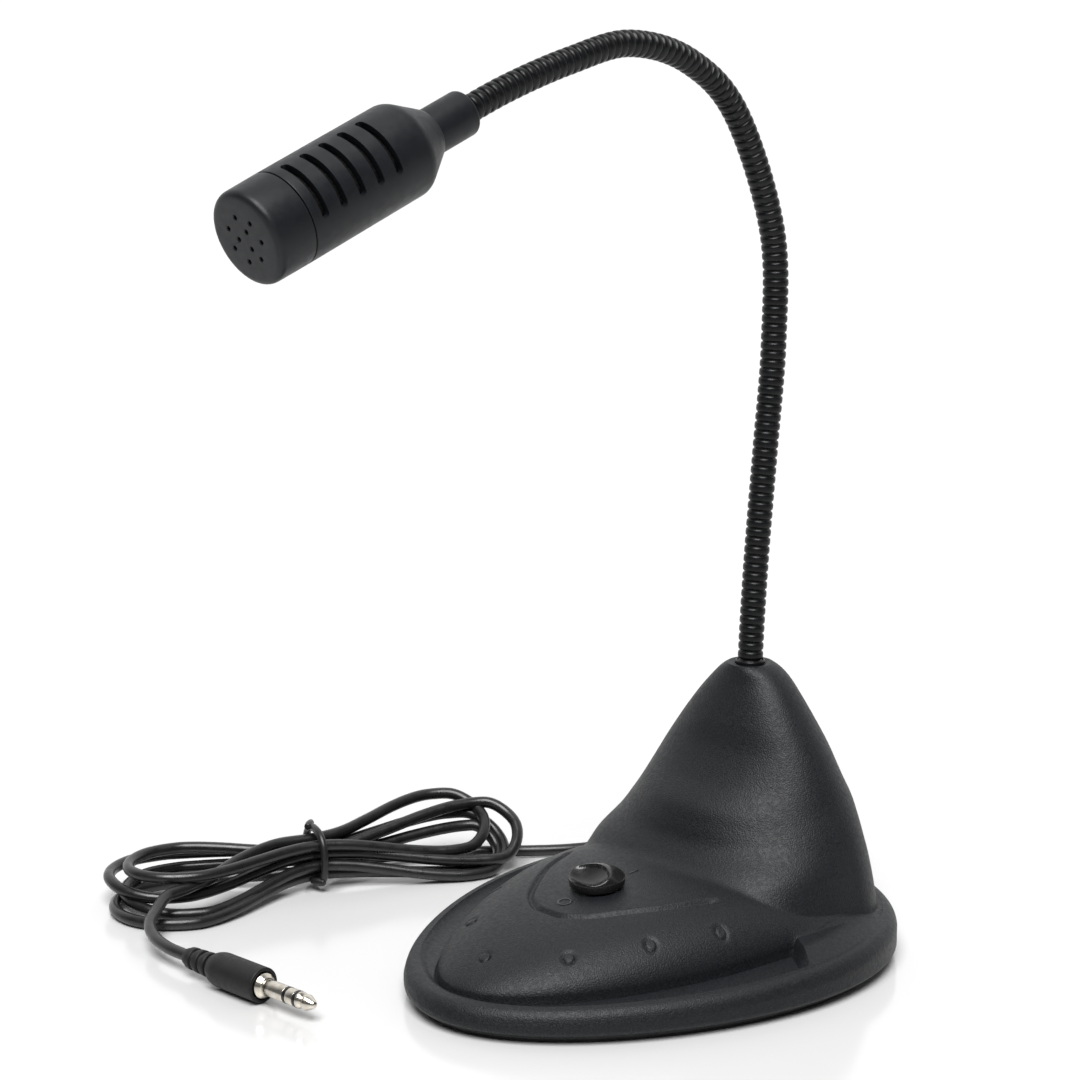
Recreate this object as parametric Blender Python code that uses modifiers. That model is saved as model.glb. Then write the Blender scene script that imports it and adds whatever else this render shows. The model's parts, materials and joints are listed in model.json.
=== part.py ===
"""Gooseneck podium microphone: weighted base with a slide switch, bendable neck, slotted
head, and its free lead wound into a tied hank that ends in a 3.5 mm jack plug.

Frame: +Z up, the floor is z = 0, the base is centred on the origin, the head looks to -Y and
x = 0 is the plane that the neck bends in. Sizes are in millimetres and the helpers scale
them to metres.
"""
import math

import bmesh
import bpy
from mathutils import Matrix, Vector

MM = 0.001
GAP = 0.3                      # clearance between neighbouring pieces

# Base cover: egg-shaped plinth with a raised rim, a crowned deck and a cone behind it
BASE_LENGTH = 114.0
BASE_WIDTH = 89.0
EGG = 0.19                     # how much wider the outline is behind the middle
COVER_BOTTOM = 1.9
COVER_WALL = 2.0
RIM_FRONT = 6.8                # rim height at the very front
RIM_SLOPE = 0.03
RIM_INSET = 3.4                # rim crest, measured in from the outline
CHANNEL_DEPTH = 1.2            # hollow between the rim and the deck
CHANNEL_END = 33.0             # the channel stops where y + slant * |x| passes this
CHANNEL_SLANT = 0.67
REAR_RISE = 2.0                # how far the rim's top rises towards the cone, at the back
DECK_LENGTH = 103.0
DECK_WIDTH = 64.0
DECK_EDGE = 8.6
DECK_SLOPE = 0.03
DECK_CROWN = 11.4
DECK_CROWN_FALL = (0.002, 0.008)    # per millimetre squared, before and behind the middle
CONE_TOP = 58.6
NECK_Y = 32.6                  # the neck leaves the cone here
NECK_BORE = 4.2                # radius of the bore in the top of the cone
BORE_DEPTH = 12.6
SOCKET_BOTTOM = 41.0
WASHER_RADIUS = 7.0
WASHER_THICKNESS = 0.8
NUT_RADIUS = 6.9
NUT_HEIGHT = 2.8
RAYS = 60                      # points around the cover
# height, half width, reach to the front, reach to the back, squareness of the front half
CONE_SECTIONS = (
    (8.0, 33.5, 40.0, 18.8, 3.0), (14.0, 32.0, 33.5, 18.8, 3.0), (20.0, 30.3, 27.8, 18.3, 3.0),
    (24.5, 28.6, 23.4, 17.8, 2.4), (28.0, 27.0, 21.9, 17.6, 2.1), (31.5, 25.0, 20.2, 17.5, 2.0),
    (36.0, 22.8, 15.4, 15.4, 2.1), (42.0, 19.2, 11.0, 13.7, 2.3), (47.0, 15.7, 9.2, 11.8, 2.3),
    (52.0, 11.9, 7.0, 9.7, 2.3), (55.5, 8.8, 5.5, 8.1, 2.2), (57.6, 6.5, 5.2, 6.3, 2.1),
    (CONE_TOP, 4.9, 4.9, 4.9, 2.0))

# Underside
PAD_THICKNESS = 0.7
PLATE_BOTTOM = PAD_THICKNESS + GAP
PLATE_FLANGE = 0.6
PLATE_TOP = 3.0
BALLAST_SIZE = (40.0, 46.0, 6.0)
BALLAST_Y = 21.0
CASE_SCREWS = ((-17.0, -30.0), (17.0, -30.0), (-26.0, 22.0), (26.0, 22.0))
BALLAST_SCREWS = ((0.0, 6.0), (0.0, 36.0))
SCREW_SHANK = 1.0
SCREW_HEAD = 2.1
SCREW_HEAD_HEIGHT = 0.8
BOSS_RADIUS = 2.8
REAR_BOSS_TOP = 15.0

# Slide switch
KNOB_Y = -12.7
KNOB_RADIUS = 5.8
KNOB_HEIGHT = 3.9
SWITCH_TRAVEL = 1.5            # each way
SWITCH_TILT = math.atan(0.089)
BOARD_SIZE = (24.0, 13.0, 1.1)
BOARD_TOP = 10.9
BOARD_SCREWS = (-8.8, 8.8)
CAN_SIZE = (5.0, 10.0, 3.4)
CAN_FLOOR = 0.9
SLIDER_SIZE = (2.6, 4.0, 2.0)
POST_SIZE = (2.2, 2.6)
KNOB_LIFT = 0.45               # the knob's edge stands this far above the deck

# Gooseneck: centre line in the plane x = 0 as (y, z)
NECK_PATH = ((32.4, 41.5), (32.6, 59.0), (33.9, 80.0), (36.1, 103.0), (38.3, 127.0), (37.2, 150.0),
             (26.0, 174.3), (12.0, 185.6), (-4.8, 189.8), (-21.0, 187.2), (-37.9, 182.6), (-53.4, 176.9))
NECK_RADIUS = 2.7
NECK_SIDES = 12
HINGE_COUNT = 9
FIRST_HINGE_Z = 66.0           # height of the lowest hinge
NECK_IN_COLLAR = 8.0
LAST_HINGE_BACK = 8.0          # last hinge, behind the collar
HINGE_LIMIT = math.radians(12.0)
SWING_CLEARANCE = math.radians(0.8)

# Head, measured forward from the back end of its collar
HEAD_PITCH = math.radians(20.65)
HEAD_LENGTH = 57.9
HEAD_RADIUS = 9.2
HEAD_WALL = 1.3
COLLAR_LENGTH = 12.6
COLLAR_RADIUS = 4.5
TAPER_END = 19.6
SEAM = 49.3
HEAD_SIDES = 36
SLOT_WIDTH = 1.4
SLOT_PITCH = 4.6
SLOT_COUNT = 5
SLOT_FIRST = SEAM - 3.0
SLOT_HALF_ARC = math.radians(43.0)
SLOT_SETS = (131.0, 311.0)
SPIGOT_RADIUS = 7.6            # the cap's spigot inside the body
SPIGOT_WALL = 0.9
SPIGOT_LENGTH = 2.8
CAP_WALL = 1.5
CAP_HOLES = ((7, 4.4, 0.0), (3, 1.9, 0.5))    # count, circle radius, turn in pitches
CAP_HOLE_RADIUS = 0.45
CAPSULE_RADIUS = 4.85
CAPSULE_LENGTH = 6.7

# Lead, hank and plug
CORD_RADIUS = 1.3
SIGNAL_RADIUS = 0.85
CORD_SIGNAL_ROUTE = ((0.0, 52.4, 5.2), (0.2, 48.8, 6.6), (0.8, 46.6, 10.6), (2.0, 39.0, 12.2),
                     (3.4, 18.0, 12.4), (3.0, 4.0, 11.6), (2.4, -2.4, 10.35))
NECK_SIGNAL_ROUTE = ((0.0, 32.3, 41.6), (0.0, 32.0, 33.0), (-2.5, 26.0, 21.0), (-4.0, 14.0, 14.0),
                     (-3.4, 4.0, 11.6), (-2.4, -2.4, 10.35))
CORD_EXIT_Z = 5.2
CORD_HOLE = 2.0
GROMMET_END = 62.0
HANK_TIE = (-83.5, -19.0)      # the hank's narrow middle
HANK_BEARING = math.radians(65.8)
# distance from the tie along the hank, far side, near side (towards the base), bottom, top
HANK_SECTIONS = (
    (-49.8, -4.5, 9.0, 0.2, 6.0), (-47.0, -9.5, 14.5, 0.2, 7.4), (-43.0, -13.5, 20.3, 0.2, 9.9),
    (-36.0, -15.5, 20.5, 0.2, 10.3), (-28.0, -15.6, 20.0, 0.2, 10.4), (-20.0, -12.8, 15.2, 0.5, 10.9),
    (-10.0, -7.8, 7.9, 1.4, 11.4), (0.0, -5.2, 4.6, 2.4, 11.8), (9.0, -8.4, 5.5, 1.2, 12.5),
    (18.0, -11.2, 7.4, 0.2, 14.4), (28.0, -14.2, 9.5, 0.2, 15.6), (38.0, -13.0, 9.3, 0.2, 15.2),
    (44.0, -9.2, 7.6, 0.2, 14.2), (48.0, -6.8, 5.2, 0.2, 13.0), (50.8, -5.0, 1.2, 0.2, 9.0))
TIE_SECTION = HANK_SECTIONS[7]
TIE_RADIUS = 0.85
LEAD_ROUTE = ((0.0, GROMMET_END + GAP, CORD_EXIT_Z), (-0.4, 65.0, 4.9), (-2.8, 68.3, 4.0),
              (-7.2, 70.4, 2.8), (-13.0, 71.6, 1.8), (-21.0, 72.8, 1.4), (-30.0, 73.0, 1.4),
              (-38.5, 70.5, 1.4), (-45.0, 64.5, 1.4), (-50.0, 56.0, 1.4), (-55.0, 46.0, 1.4),
              (-60.5, 35.5, 1.4), (-65.4, 29.4, 1.4))
TAIL_ROUTE = ((-79.6, -67.7, 4.95), (-78.0, -68.9, 4.7), (-72.3, -71.9, 4.0), (-66.0, -73.2, 3.75),
              (-59.2, -73.35, 3.75))
PLUG_START = (-58.9, -73.35, 3.75)
PLUG_DIRECTION = math.radians(2.3)
RELIEF_LENGTH = 8.7
PLUG_BODY_LENGTH = 15.0
PLUG_BODY_RADIUS = 3.7
FLANGE_LENGTH = 1.0
JACK_RADIUS = 1.75
JACK_LENGTH = 14.0


# --- scene helpers -------------------------------------------------------------------------

def clear_scene():
    for item in list(bpy.data.objects):
        bpy.data.objects.remove(item, do_unlink=True)


def new_collection(name):
    collection = bpy.data.collections.new(name)
    bpy.context.scene.collection.children.link(collection)
    return collection


clear_scene()
PARTS = new_collection("gooseneck_microphone")
CUTTERS = new_collection("cutters")


def material(name, colour, roughness, metallic=0.0):
    found = bpy.data.materials.get(name)
    if found:
        return found
    made = bpy.data.materials.new(name)
    made.use_nodes = True
    shader = made.node_tree.nodes["Principled BSDF"]
    shader.inputs["Base Color"].default_value = (*colour, 1.0)
    shader.inputs["Roughness"].default_value = roughness
    shader.inputs["Metallic"].default_value = metallic
    return made


def charcoal_abs():
    return material("charcoal_abs", (0.022, 0.023, 0.025), 0.48)


def satin_black():
    return material("satin_black", (0.012, 0.012, 0.013), 0.38)


def glossy_black():
    return material("glossy_black", (0.010, 0.010, 0.011), 0.2)


def black_rubber():
    return material("black_rubber", (0.011, 0.011, 0.011), 0.8)


def cord_pvc():
    return material("cord_pvc", (0.009, 0.009, 0.010), 0.26)


def steel():
    return material("zinc_steel", (0.60, 0.60, 0.59), 0.35, 1.0)


def nickel():
    return material("nickel_plate", (0.72, 0.68, 0.60), 0.18, 1.0)


def circuit_board():
    return material("circuit_board", (0.05, 0.16, 0.07), 0.5)


def finish_mesh(mesh, angle=35.0):
    mesh.shade_smooth()
    mesh.set_sharp_from_angle(angle=math.radians(angle))


def link(name, mesh, surface, collection=None):
    item = bpy.data.objects.new(name, mesh)
    (collection or PARTS).objects.link(item)
    if surface:
        mesh.materials.append(surface)
    return item


def place(item, origin=(0.0, 0.0, 0.0), rotation=(0.0, 0.0, 0.0), parent=None):
    item.location = Vector(origin) * MM
    item.rotation_euler = rotation
    item.parent = parent
    return item


def empty(name, origin, rotation=(0.0, 0.0, 0.0), parent=None):
    item = bpy.data.objects.new(name, None)
    PARTS.objects.link(item)
    return place(item, origin, rotation, parent)


def loft(name, rings, surface, wrap=False, tips=(None, None), origin=(0.0, 0.0, 0.0), collection=None):
    """Skin through rings of points. wrap joins the last ring to the first; otherwise each end
    is closed by a flat face, or by a fan to its tip point."""
    shift = Vector(origin)
    bm = bmesh.new()
    loops = [[bm.verts.new((Vector(point) - shift) * MM) for point in ring] for ring in rings]
    count = len(loops[0])
    pairs = list(zip(loops, loops[1:])) + ([(loops[-1], loops[0])] if wrap else [])
    for lower, upper in pairs:
        for i in range(count):
            j = (i + 1) % count
            bm.faces.new((lower[i], lower[j], upper[j], upper[i]))
    if not wrap:
        for loop, tip in ((loops[0], tips[0]), (loops[-1], tips[1])):
            if tip is None:
                bm.faces.new(loop)
                continue
            point = bm.verts.new((Vector(tip) - shift) * MM)
            for i in range(count):
                bm.faces.new((loop[i], loop[(i + 1) % count], point))
    bmesh.ops.recalc_face_normals(bm, faces=bm.faces)
    mesh = bpy.data.meshes.new(name)
    bm.to_mesh(mesh)
    bm.free()
    finish_mesh(mesh)
    return place(link(name, mesh, surface, collection), origin)


def turned(name, profile, surface, steps=24, closed=False, collection=None):
    """Screw a (radius, height) profile round local Z. The outer side runs top to bottom."""
    mesh = bpy.data.meshes.new(name)
    points = [(radius * MM, 0.0, height * MM) for radius, height in profile]
    edges = [(i, i + 1) for i in range(len(points) - 1)]
    if closed:
        edges.append((len(points) - 1, 0))
    mesh.from_pydata(points, edges, [])
    item = link(name, mesh, surface, collection)
    screw = item.modifiers.new("turn", "SCREW")
    screw.steps = steps
    screw.render_steps = steps
    screw.use_merge_vertices = True
    screw.merge_threshold = 0.00001
    screw.use_smooth_shade = True
    return item


def cylinder(name, radius, bottom, top, surface, sides=16, centre=(0.0, 0.0), collection=None):
    bpy.ops.mesh.primitive_cylinder_add(vertices=sides, radius=radius * MM, depth=(top - bottom) * MM)
    return adopt(name, (centre[0], centre[1], 0.5 * (bottom + top)), surface, collection)


def box(name, size, centre, surface, collection=None, bevel=0.0):
    bpy.ops.mesh.primitive_cube_add(size=1.0)
    item = adopt(name, centre, surface, collection)
    item.data.transform(Matrix.Diagonal((size[0] * MM, size[1] * MM, size[2] * MM, 1.0)))
    if bevel:
        edge = item.modifiers.new("round", "BEVEL")
        edge.width = bevel * MM
        edge.segments = 1
        edge.limit_method = "ANGLE"
    return item


def adopt(name, centre, surface, collection):
    """Name the primitive just added, and move it to its place and collection."""
    item = bpy.context.active_object
    item.name = name
    item.data.name = name
    for owner in list(item.users_collection):
        owner.objects.unlink(item)
    (collection or PARTS).objects.link(item)
    if surface:
        item.data.materials.append(surface)
    item.data.shade_smooth()
    item.data.set_sharp_from_angle(angle=math.radians(35.0))
    return place(item, centre)


def tool(item):
    item.hide_render = True
    item.display_type = "WIRE"
    return item


def combine(target, other, operation):
    change = target.modifiers.new(other.name, "BOOLEAN")
    change.object = tool(other)
    change.operation = operation
    change.solver = "EXACT"


def cut(target, other):
    combine(target, other, "DIFFERENCE")


def weld(target, other):
    combine(target, other, "UNION")


# --- formulas ------------------------------------------------------------------------------

def smoothstep(value):
    value = min(1.0, max(0.0, value))
    return value * value * (3.0 - 2.0 * value)


def egg_point(theta, length, width, inset=0.0):
    """Point of an egg outline. theta = -90 degrees is its front."""
    half_width = 0.5 * width - inset
    half_length = 0.5 * length - inset
    return (half_width * math.cos(theta) * (1.0 + EGG * math.sin(theta)), half_length * math.sin(theta))


def egg_level(x, y, length, width, from_y=None):
    """0 at the middle of an egg and 1 on its outline."""
    along = y / (0.5 * length)
    across = x / (0.5 * width * (1.0 + EGG * along))
    if from_y is not None:
        along = min(y, from_y) / (0.5 * length)
    return math.sqrt(along * along + across * across)


def rim_height(y):
    return RIM_FRONT + RIM_SLOPE * (y + 0.5 * BASE_LENGTH)


def plinth_height(x, y):
    """Top of the plinth: rim, channel in front and gentle rise behind."""
    mean_radius = 0.25 * (BASE_LENGTH + BASE_WIDTH)
    inward = mean_radius * (1.0 - egg_level(x, y, BASE_LENGTH, BASE_WIDTH))
    behind = smoothstep((y + CHANNEL_SLANT * abs(x) - CHANNEL_END) / 1.5 + 0.5)
    channel = CHANNEL_DEPTH * smoothstep((inward - 3.2) / 2.5)
    rise = REAR_RISE * smoothstep((inward - 3.0) / 6.0)
    return rim_height(y) + behind * rise - (1.0 - behind) * channel


def deck_height(x, y):
    """Crowned deck, or nothing outside its outline."""
    level = egg_level(x, y, DECK_LENGTH, DECK_WIDTH, from_y=0.0)
    if level >= 1.0:
        return 0.0
    crown = DECK_CROWN - DECK_CROWN_FALL[y > 0.0] * y * y
    return DECK_EDGE + DECK_SLOPE * y + crown * (1.0 - level**4) ** 0.6


def top_height(x, y):
    return max(plinth_height(x, y), deck_height(x, y))


def cone_section(z):
    """Half width, front reach, back reach and squareness of the cone at a height."""
    rows = CONE_SECTIONS
    z = min(max(z, rows[0][0]), rows[-1][0])
    index = next(i for i in range(len(rows) - 1) if z <= rows[i + 1][0])
    low, high = rows[index], rows[index + 1]
    before, after = rows[max(index - 1, 0)], rows[min(index + 2, len(rows) - 1)]
    span = high[0] - low[0]
    t = (z - low[0]) / span
    values = []
    for k in (1, 2, 3, 4):
        slope_low = span * (high[k] - before[k]) / (high[0] - before[0])
        slope_high = span * (after[k] - low[k]) / (after[0] - low[0])
        values.append((2 * t**3 - 3 * t**2 + 1) * low[k] + (t**3 - 2 * t**2 + t) * slope_low
                      + (3 * t**2 - 2 * t**3) * high[k] + (t**3 - t**2) * slope_high)
    return values


def cone_reach(angle, z):
    """Distance from the neck's axis to the cone's surface, in a direction and at a height."""
    half_width, front, back, square = cone_section(z)
    if math.sin(angle) >= 0.0:
        return 1.0 / math.hypot(math.cos(angle) / half_width, math.sin(angle) / back)
    across, along = abs(math.cos(angle)) / half_width, abs(math.sin(angle)) / front
    return (across**square + along**square) ** (-1.0 / square)


def bisect(function, low, high, rounds=30):
    """Where a function that falls from positive to negative crosses zero."""
    for _ in range(rounds):
        middle = 0.5 * (low + high)
        if function(middle) > 0.0:
            low = middle
        else:
            high = middle
    return 0.5 * (low + high)


class Ray:
    """One line of the cover, from the neck's axis out to the rim."""

    def __init__(self, theta):
        self.theta = theta
        crest = egg_point(theta, BASE_LENGTH, BASE_WIDTH, RIM_INSET)
        self.angle = math.atan2(crest[1] - NECK_Y, crest[0])
        self.crest = math.hypot(crest[0], crest[1] - NECK_Y)
        self.foot_z = bisect(self.above_floor, 8.0, 45.0)
        self.foot = cone_reach(self.angle, self.foot_z)
        edge = bisect(self.inside_deck, self.foot, self.crest)
        self.has_deck = self.foot + 1.0 < edge < self.crest - 1.0
        self.edge = edge if self.has_deck else self.foot + 0.4 * (self.crest - self.foot)

    def above_floor(self, z):
        x, y = self.plan(cone_reach(self.angle, z))
        return top_height(x, y) - z

    def inside_deck(self, reach):
        x, y = self.plan(reach)
        return 1.0 - egg_level(x, y, DECK_LENGTH, DECK_WIDTH, from_y=0.0)

    def plan(self, reach):
        return (reach * math.cos(self.angle), NECK_Y + reach * math.sin(self.angle))

    def on_cone(self, part, wall=0.0):
        z = CONE_TOP + (self.foot_z - CONE_TOP) * part
        return (*self.plan(cone_reach(self.angle, z) - wall), z)

    def at(self, reach, height):
        x, y = self.plan(reach)
        return (x, y, height(x, y))

    def under(self, reach):
        """Inner surface below the top: the thinner of two readings, so that steps stay covered."""
        x, y = self.plan(reach)
        outer_x, outer_y = self.plan(reach + 1.5)
        return (x, y, min(top_height(x, y), top_height(outer_x, outer_y)) - COVER_WALL)

    def rim(self, inset, z):
        return (*egg_point(self.theta, BASE_LENGTH, BASE_WIDTH, inset), z)

    def outer_points(self):
        crest = rim_height(self.rim(RIM_INSET, 0.0)[1])
        points = [self.on_cone(part) for part in (0.0, 0.03, 0.1, 0.22, 0.36, 0.5, 0.62, 0.74, 0.87, 1.0)]
        span = self.edge - self.foot
        points += [self.at(self.foot + span * part, top_height) for part in (0.35, 0.7, 0.88, 0.97)]
        points.append(self.at(self.edge - 0.02, top_height))
        points.append(self.at(self.edge + 0.3, top_height))
        points.append(self.at(0.55 * self.edge + 0.45 * self.crest, top_height))
        points.append(self.rim(RIM_INSET, crest))
        points += [self.rim(1.8, crest - 0.35), self.rim(0.6, crest - 1.5), self.rim(0.0, crest - 3.2)]
        points += [self.rim(0.0, 3.4), self.rim(0.6, COVER_BOTTOM)]
        return points

    def inner_points(self):
        crest = rim_height(self.rim(RIM_INSET, 0.0)[1])
        ceiling = CONE_TOP - BORE_DEPTH
        points = [self.rim(COVER_WALL + 0.4, COVER_BOTTOM), self.rim(COVER_WALL + 0.4, crest - 2.6)]
        inner_foot = cone_reach(self.angle, self.foot_z) - 2.8
        inner_rim = self.crest - 1.0
        deep = self.edge - 3.0
        reaches = (0.5 * (self.edge + inner_rim), self.edge - 0.5, deep, inner_foot + 0.4 * (deep - inner_foot))
        points += [self.under(reach) for reach in reaches]
        points.append((*self.plan(inner_foot), self.foot_z - COVER_WALL - 0.4))
        for part in (0.6, 0.3, 0.0):
            z = ceiling + (self.foot_z - COVER_WALL - ceiling) * part
            points.append((*self.plan(cone_reach(self.angle, z) - 2.4), z))
        points += [(*self.plan(NECK_BORE), ceiling), (*self.plan(NECK_BORE), CONE_TOP)]
        return points


def spline(points, per_span):
    """Catmull-Rom curve through 3-D points."""
    knots = [Vector(point) for point in points]
    ends = [2 * knots[0] - knots[1]] + knots + [2 * knots[-1] - knots[-2]]
    curve = []
    for i in range(1, len(ends) - 2):
        p0, p1, p2, p3 = ends[i - 1:i + 3]
        for k in range(per_span):
            t = k / per_span
            curve.append(0.5 * (2 * p1 + (p2 - p0) * t + (2 * p0 - 5 * p1 + 4 * p2 - p3) * t * t
                                + (3 * p1 - p0 - 3 * p2 + p3) * t**3))
    return curve + [knots[-1]]


class Path:
    """A curve that can be read at any distance along it."""

    def __init__(self, points, per_span=24):
        self.points = spline(points, per_span)
        self.reach = [0.0]
        for start, end in zip(self.points, self.points[1:]):
            self.reach.append(self.reach[-1] + (end - start).length)
        self.length = self.reach[-1]

    def at(self, distance):
        distance = min(max(distance, 0.0), self.length)
        i = next(k for k in range(1, len(self.reach)) if distance <= self.reach[k] + 1e-9)
        part = (distance - self.reach[i - 1]) / (self.reach[i] - self.reach[i - 1])
        return self.points[i - 1].lerp(self.points[i], min(1.0, part))

    def direction(self, distance):
        ahead = min(distance + 0.5, self.length)
        return (self.at(ahead) - self.at(max(ahead - 1.0, 0.0))).normalized()


def rings_along(path, stations, sides):
    """Rings of a round tube whose path lies in the plane x = 0: stations are (distance, radius)."""
    rings = []
    for distance, radius in stations:
        centre = path.at(distance)
        ahead = path.direction(distance)
        side = Vector((1.0, 0.0, 0.0))
        up = side.cross(ahead)
        angles = [2.0 * math.pi * k / sides for k in range(sides)]
        rings.append([centre + radius * (math.cos(a) * side + math.sin(a) * up) for a in angles])
    return rings


# --- base ----------------------------------------------------------------------------------

def boss_top(x, y):
    """Top of a screw boss: buried in the deck's wall in front, inside the cone's wall behind."""
    if y > 0.0:
        return REAR_BOSS_TOP
    sides = ((BOSS_RADIUS, 0.0), (-BOSS_RADIUS, 0.0), (0.0, BOSS_RADIUS), (0.0, -BOSS_RADIUS))
    return min(top_height(x + dx, y + dy) for dx, dy in sides) - 0.7


def base_cover():
    rays = [Ray(2.0 * math.pi * (k + 0.5) / RAYS) for k in range(RAYS)]
    columns = [ray.outer_points() + ray.inner_points() for ray in rays]
    rings = [list(ring) for ring in zip(*columns)]
    cover = loft("base_cover", rings, charcoal_abs(), wrap=True)
    for index, (x, y) in enumerate(CASE_SCREWS):
        top = boss_top(x, y)
        boss = cylinder(f"case_boss_{index}", BOSS_RADIUS, PLATE_TOP + GAP, top, None, 12, (x, y), CUTTERS)
        weld(cover, boss)
        bore = cylinder(f"case_bore_{index}", SCREW_SHANK + GAP, 0.0, top - 1.0, None, 8, (x, y), CUTTERS)
        cut(cover, bore)
    for index, x in enumerate(BOARD_SCREWS):
        top = deck_height(x, KNOB_Y) - 0.5 * COVER_WALL
        boss = cylinder(f"board_boss_{index}", 2.2, BOARD_TOP + GAP, top, None, 10, (x, KNOB_Y), CUTTERS)
        weld(cover, boss)
        bore = cylinder(f"board_bore_{index}", 1.0, BOARD_TOP, BOARD_TOP + 3.6, None, 8, (x, KNOB_Y), CUTTERS)
        cut(cover, bore)
    slot = (POST_SIZE[0] + 1.2, POST_SIZE[1] + 2.0 * SWITCH_TRAVEL + 1.0, 8.0)
    cut(cover, box("knob_slot", slot, (0.0, KNOB_Y, deck_height(0.0, KNOB_Y)), None, CUTTERS))
    hole = cylinder("cord_hole", CORD_HOLE, -8.0, 8.0, None, 14, collection=CUTTERS)
    cut(cover, place(hole, (0.0, 0.5 * BASE_LENGTH, CORD_EXIT_Z), (math.pi / 2, 0.0, 0.0)))
    return cover


def egg_plate(name, rows, surface, count=48):
    """Flat egg-shaped plate from (inset, z) rows, bottom first."""
    rings = []
    for inset, z in rows:
        outline = [egg_point(2.0 * math.pi * k / count, BASE_LENGTH, BASE_WIDTH, inset) for k in range(count)]
        rings.append([(x, y, z) for x, y in outline])
    return loft(name, rings, surface)


def bottom_plate():
    lip = COVER_WALL + 0.4 + GAP
    rows = ((1.8, PLATE_BOTTOM), (1.6, PLATE_BOTTOM + PLATE_FLANGE), (lip, PLATE_BOTTOM + PLATE_FLANGE),
            (lip, PLATE_TOP))
    plate = egg_plate("bottom_plate", rows, satin_black())
    notch_bottom = PLATE_BOTTOM + PLATE_FLANGE + 0.4
    notch_centre = (0.0, 0.5 * BASE_LENGTH - 3.0, notch_bottom + 2.0)
    cut(plate, box("grommet_notch", (7.0, 10.0, 4.0), notch_centre, None, CUTTERS))
    for index, centre in enumerate(CASE_SCREWS + BALLAST_SCREWS):
        cut(plate, cylinder(f"plate_hole_{index}", SCREW_SHANK + GAP, 0.0, 8.0, None, 10, centre, CUTTERS))
        cut(plate, cylinder(f"plate_sink_{index}", SCREW_HEAD + GAP, 0.0, 2.2, None, 12, centre, CUTTERS))
    return plate


def anti_slip_pad():
    return egg_plate("anti_slip_pad", ((3.0, 0.0), (2.6, 0.2), (2.6, PAD_THICKNESS)), black_rubber(), 40)


def ballast_weight():
    width, length, height = BALLAST_SIZE
    bottom = PLATE_TOP + GAP
    ballast = box("ballast_weight", BALLAST_SIZE, (0.0, BALLAST_Y, bottom + 0.5 * height), steel(), bevel=1.0)
    for index, centre in enumerate(BALLAST_SCREWS):
        cut(ballast, cylinder(f"ballast_hole_{index}", SCREW_SHANK + GAP, 0.0, 7.5, None, 8, centre, CUTTERS))
    return ballast


def screw(name, centre, head_bottom, tip, head_radius=SCREW_HEAD, shank=SCREW_SHANK):
    """Pan-head screw driven upwards, with a pointed tip."""
    head_top = head_bottom + SCREW_HEAD_HEIGHT
    profile = [(0.0, tip), (shank, tip - 1.2), (shank, head_top), (head_radius, head_top),
               (head_radius, head_bottom + 0.25), (head_radius - 0.5, head_bottom), (0.0, head_bottom)]
    return place(turned(name, profile, steel(), 12), (centre[0], centre[1], 0.0))


def screws():
    under_plate = PLATE_BOTTOM + 0.1
    for index, centre in enumerate(CASE_SCREWS):
        screw(f"case_screw_{index + 1}", centre, under_plate, boss_top(*centre) - 1.6)
    for index, centre in enumerate(BALLAST_SCREWS):
        screw(f"ballast_screw_{index + 1}", centre, under_plate, PLATE_TOP + 4.2)
    under_board = BOARD_TOP - BOARD_SIZE[2] - GAP - SCREW_HEAD_HEIGHT
    for index, x in enumerate(BOARD_SCREWS):
        screw(f"board_screw_{index + 1}", (x, KNOB_Y), under_board, BOARD_TOP + 3.3, 1.6, 0.7)


def cord_grommet():
    """Moulded strain relief: inner flange, waist in the wall, outer flange and tapered tail."""
    end = GROMMET_END - 0.5 * BASE_LENGTH
    waist = CORD_HOLE - GAP
    profile = [(0.0, end), (1.9, end), (2.6, 2.2), (3.4, 1.9), (3.4, GAP), (waist, GAP), (waist, -2.9),
               (2.15, -2.9), (2.15, -4.2), (0.0, -4.2)]
    grommet = turned("cord_grommet", profile, black_rubber(), 16)
    return place(grommet, (0.0, 0.5 * BASE_LENGTH, CORD_EXIT_Z), (-math.pi / 2, 0.0, 0.0))


# --- switch --------------------------------------------------------------------------------

def deck_top():
    return top_height(0.0, KNOB_Y)


def slider_bottom():
    return BOARD_TOP + 2 * GAP + CAN_FLOOR


def switch_board():
    board = box("switch_board", BOARD_SIZE, (0.0, KNOB_Y, BOARD_TOP - 0.5 * BOARD_SIZE[2]), circuit_board())
    for index, x in enumerate(BOARD_SCREWS):
        cut(board, cylinder(f"board_hole_{index}", 1.0, 6.0, 14.0, None, 8, (x, KNOB_Y), CUTTERS))
    return board


def switch_can():
    """Open-topped metal frame of the slide switch."""
    centre = (0.0, KNOB_Y, BOARD_TOP + GAP + 0.5 * CAN_SIZE[2])
    can = box("switch_can", CAN_SIZE, centre, steel())
    well = (CAN_SIZE[0] - 1.6, CAN_SIZE[1] - 2.0, CAN_SIZE[2])
    cut(can, box("can_well", well, (0.0, KNOB_Y, centre[2] + CAN_FLOOR), None, CUTTERS))
    return can


def switch_slider(carrier):
    height = slider_bottom() + 0.5 * SLIDER_SIZE[2] - deck_top()
    slider = box("switch_slider", SLIDER_SIZE, (0.0, 0.0, height), glossy_black())
    return place(slider, (0.0, 0.0, height), parent=carrier)


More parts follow.
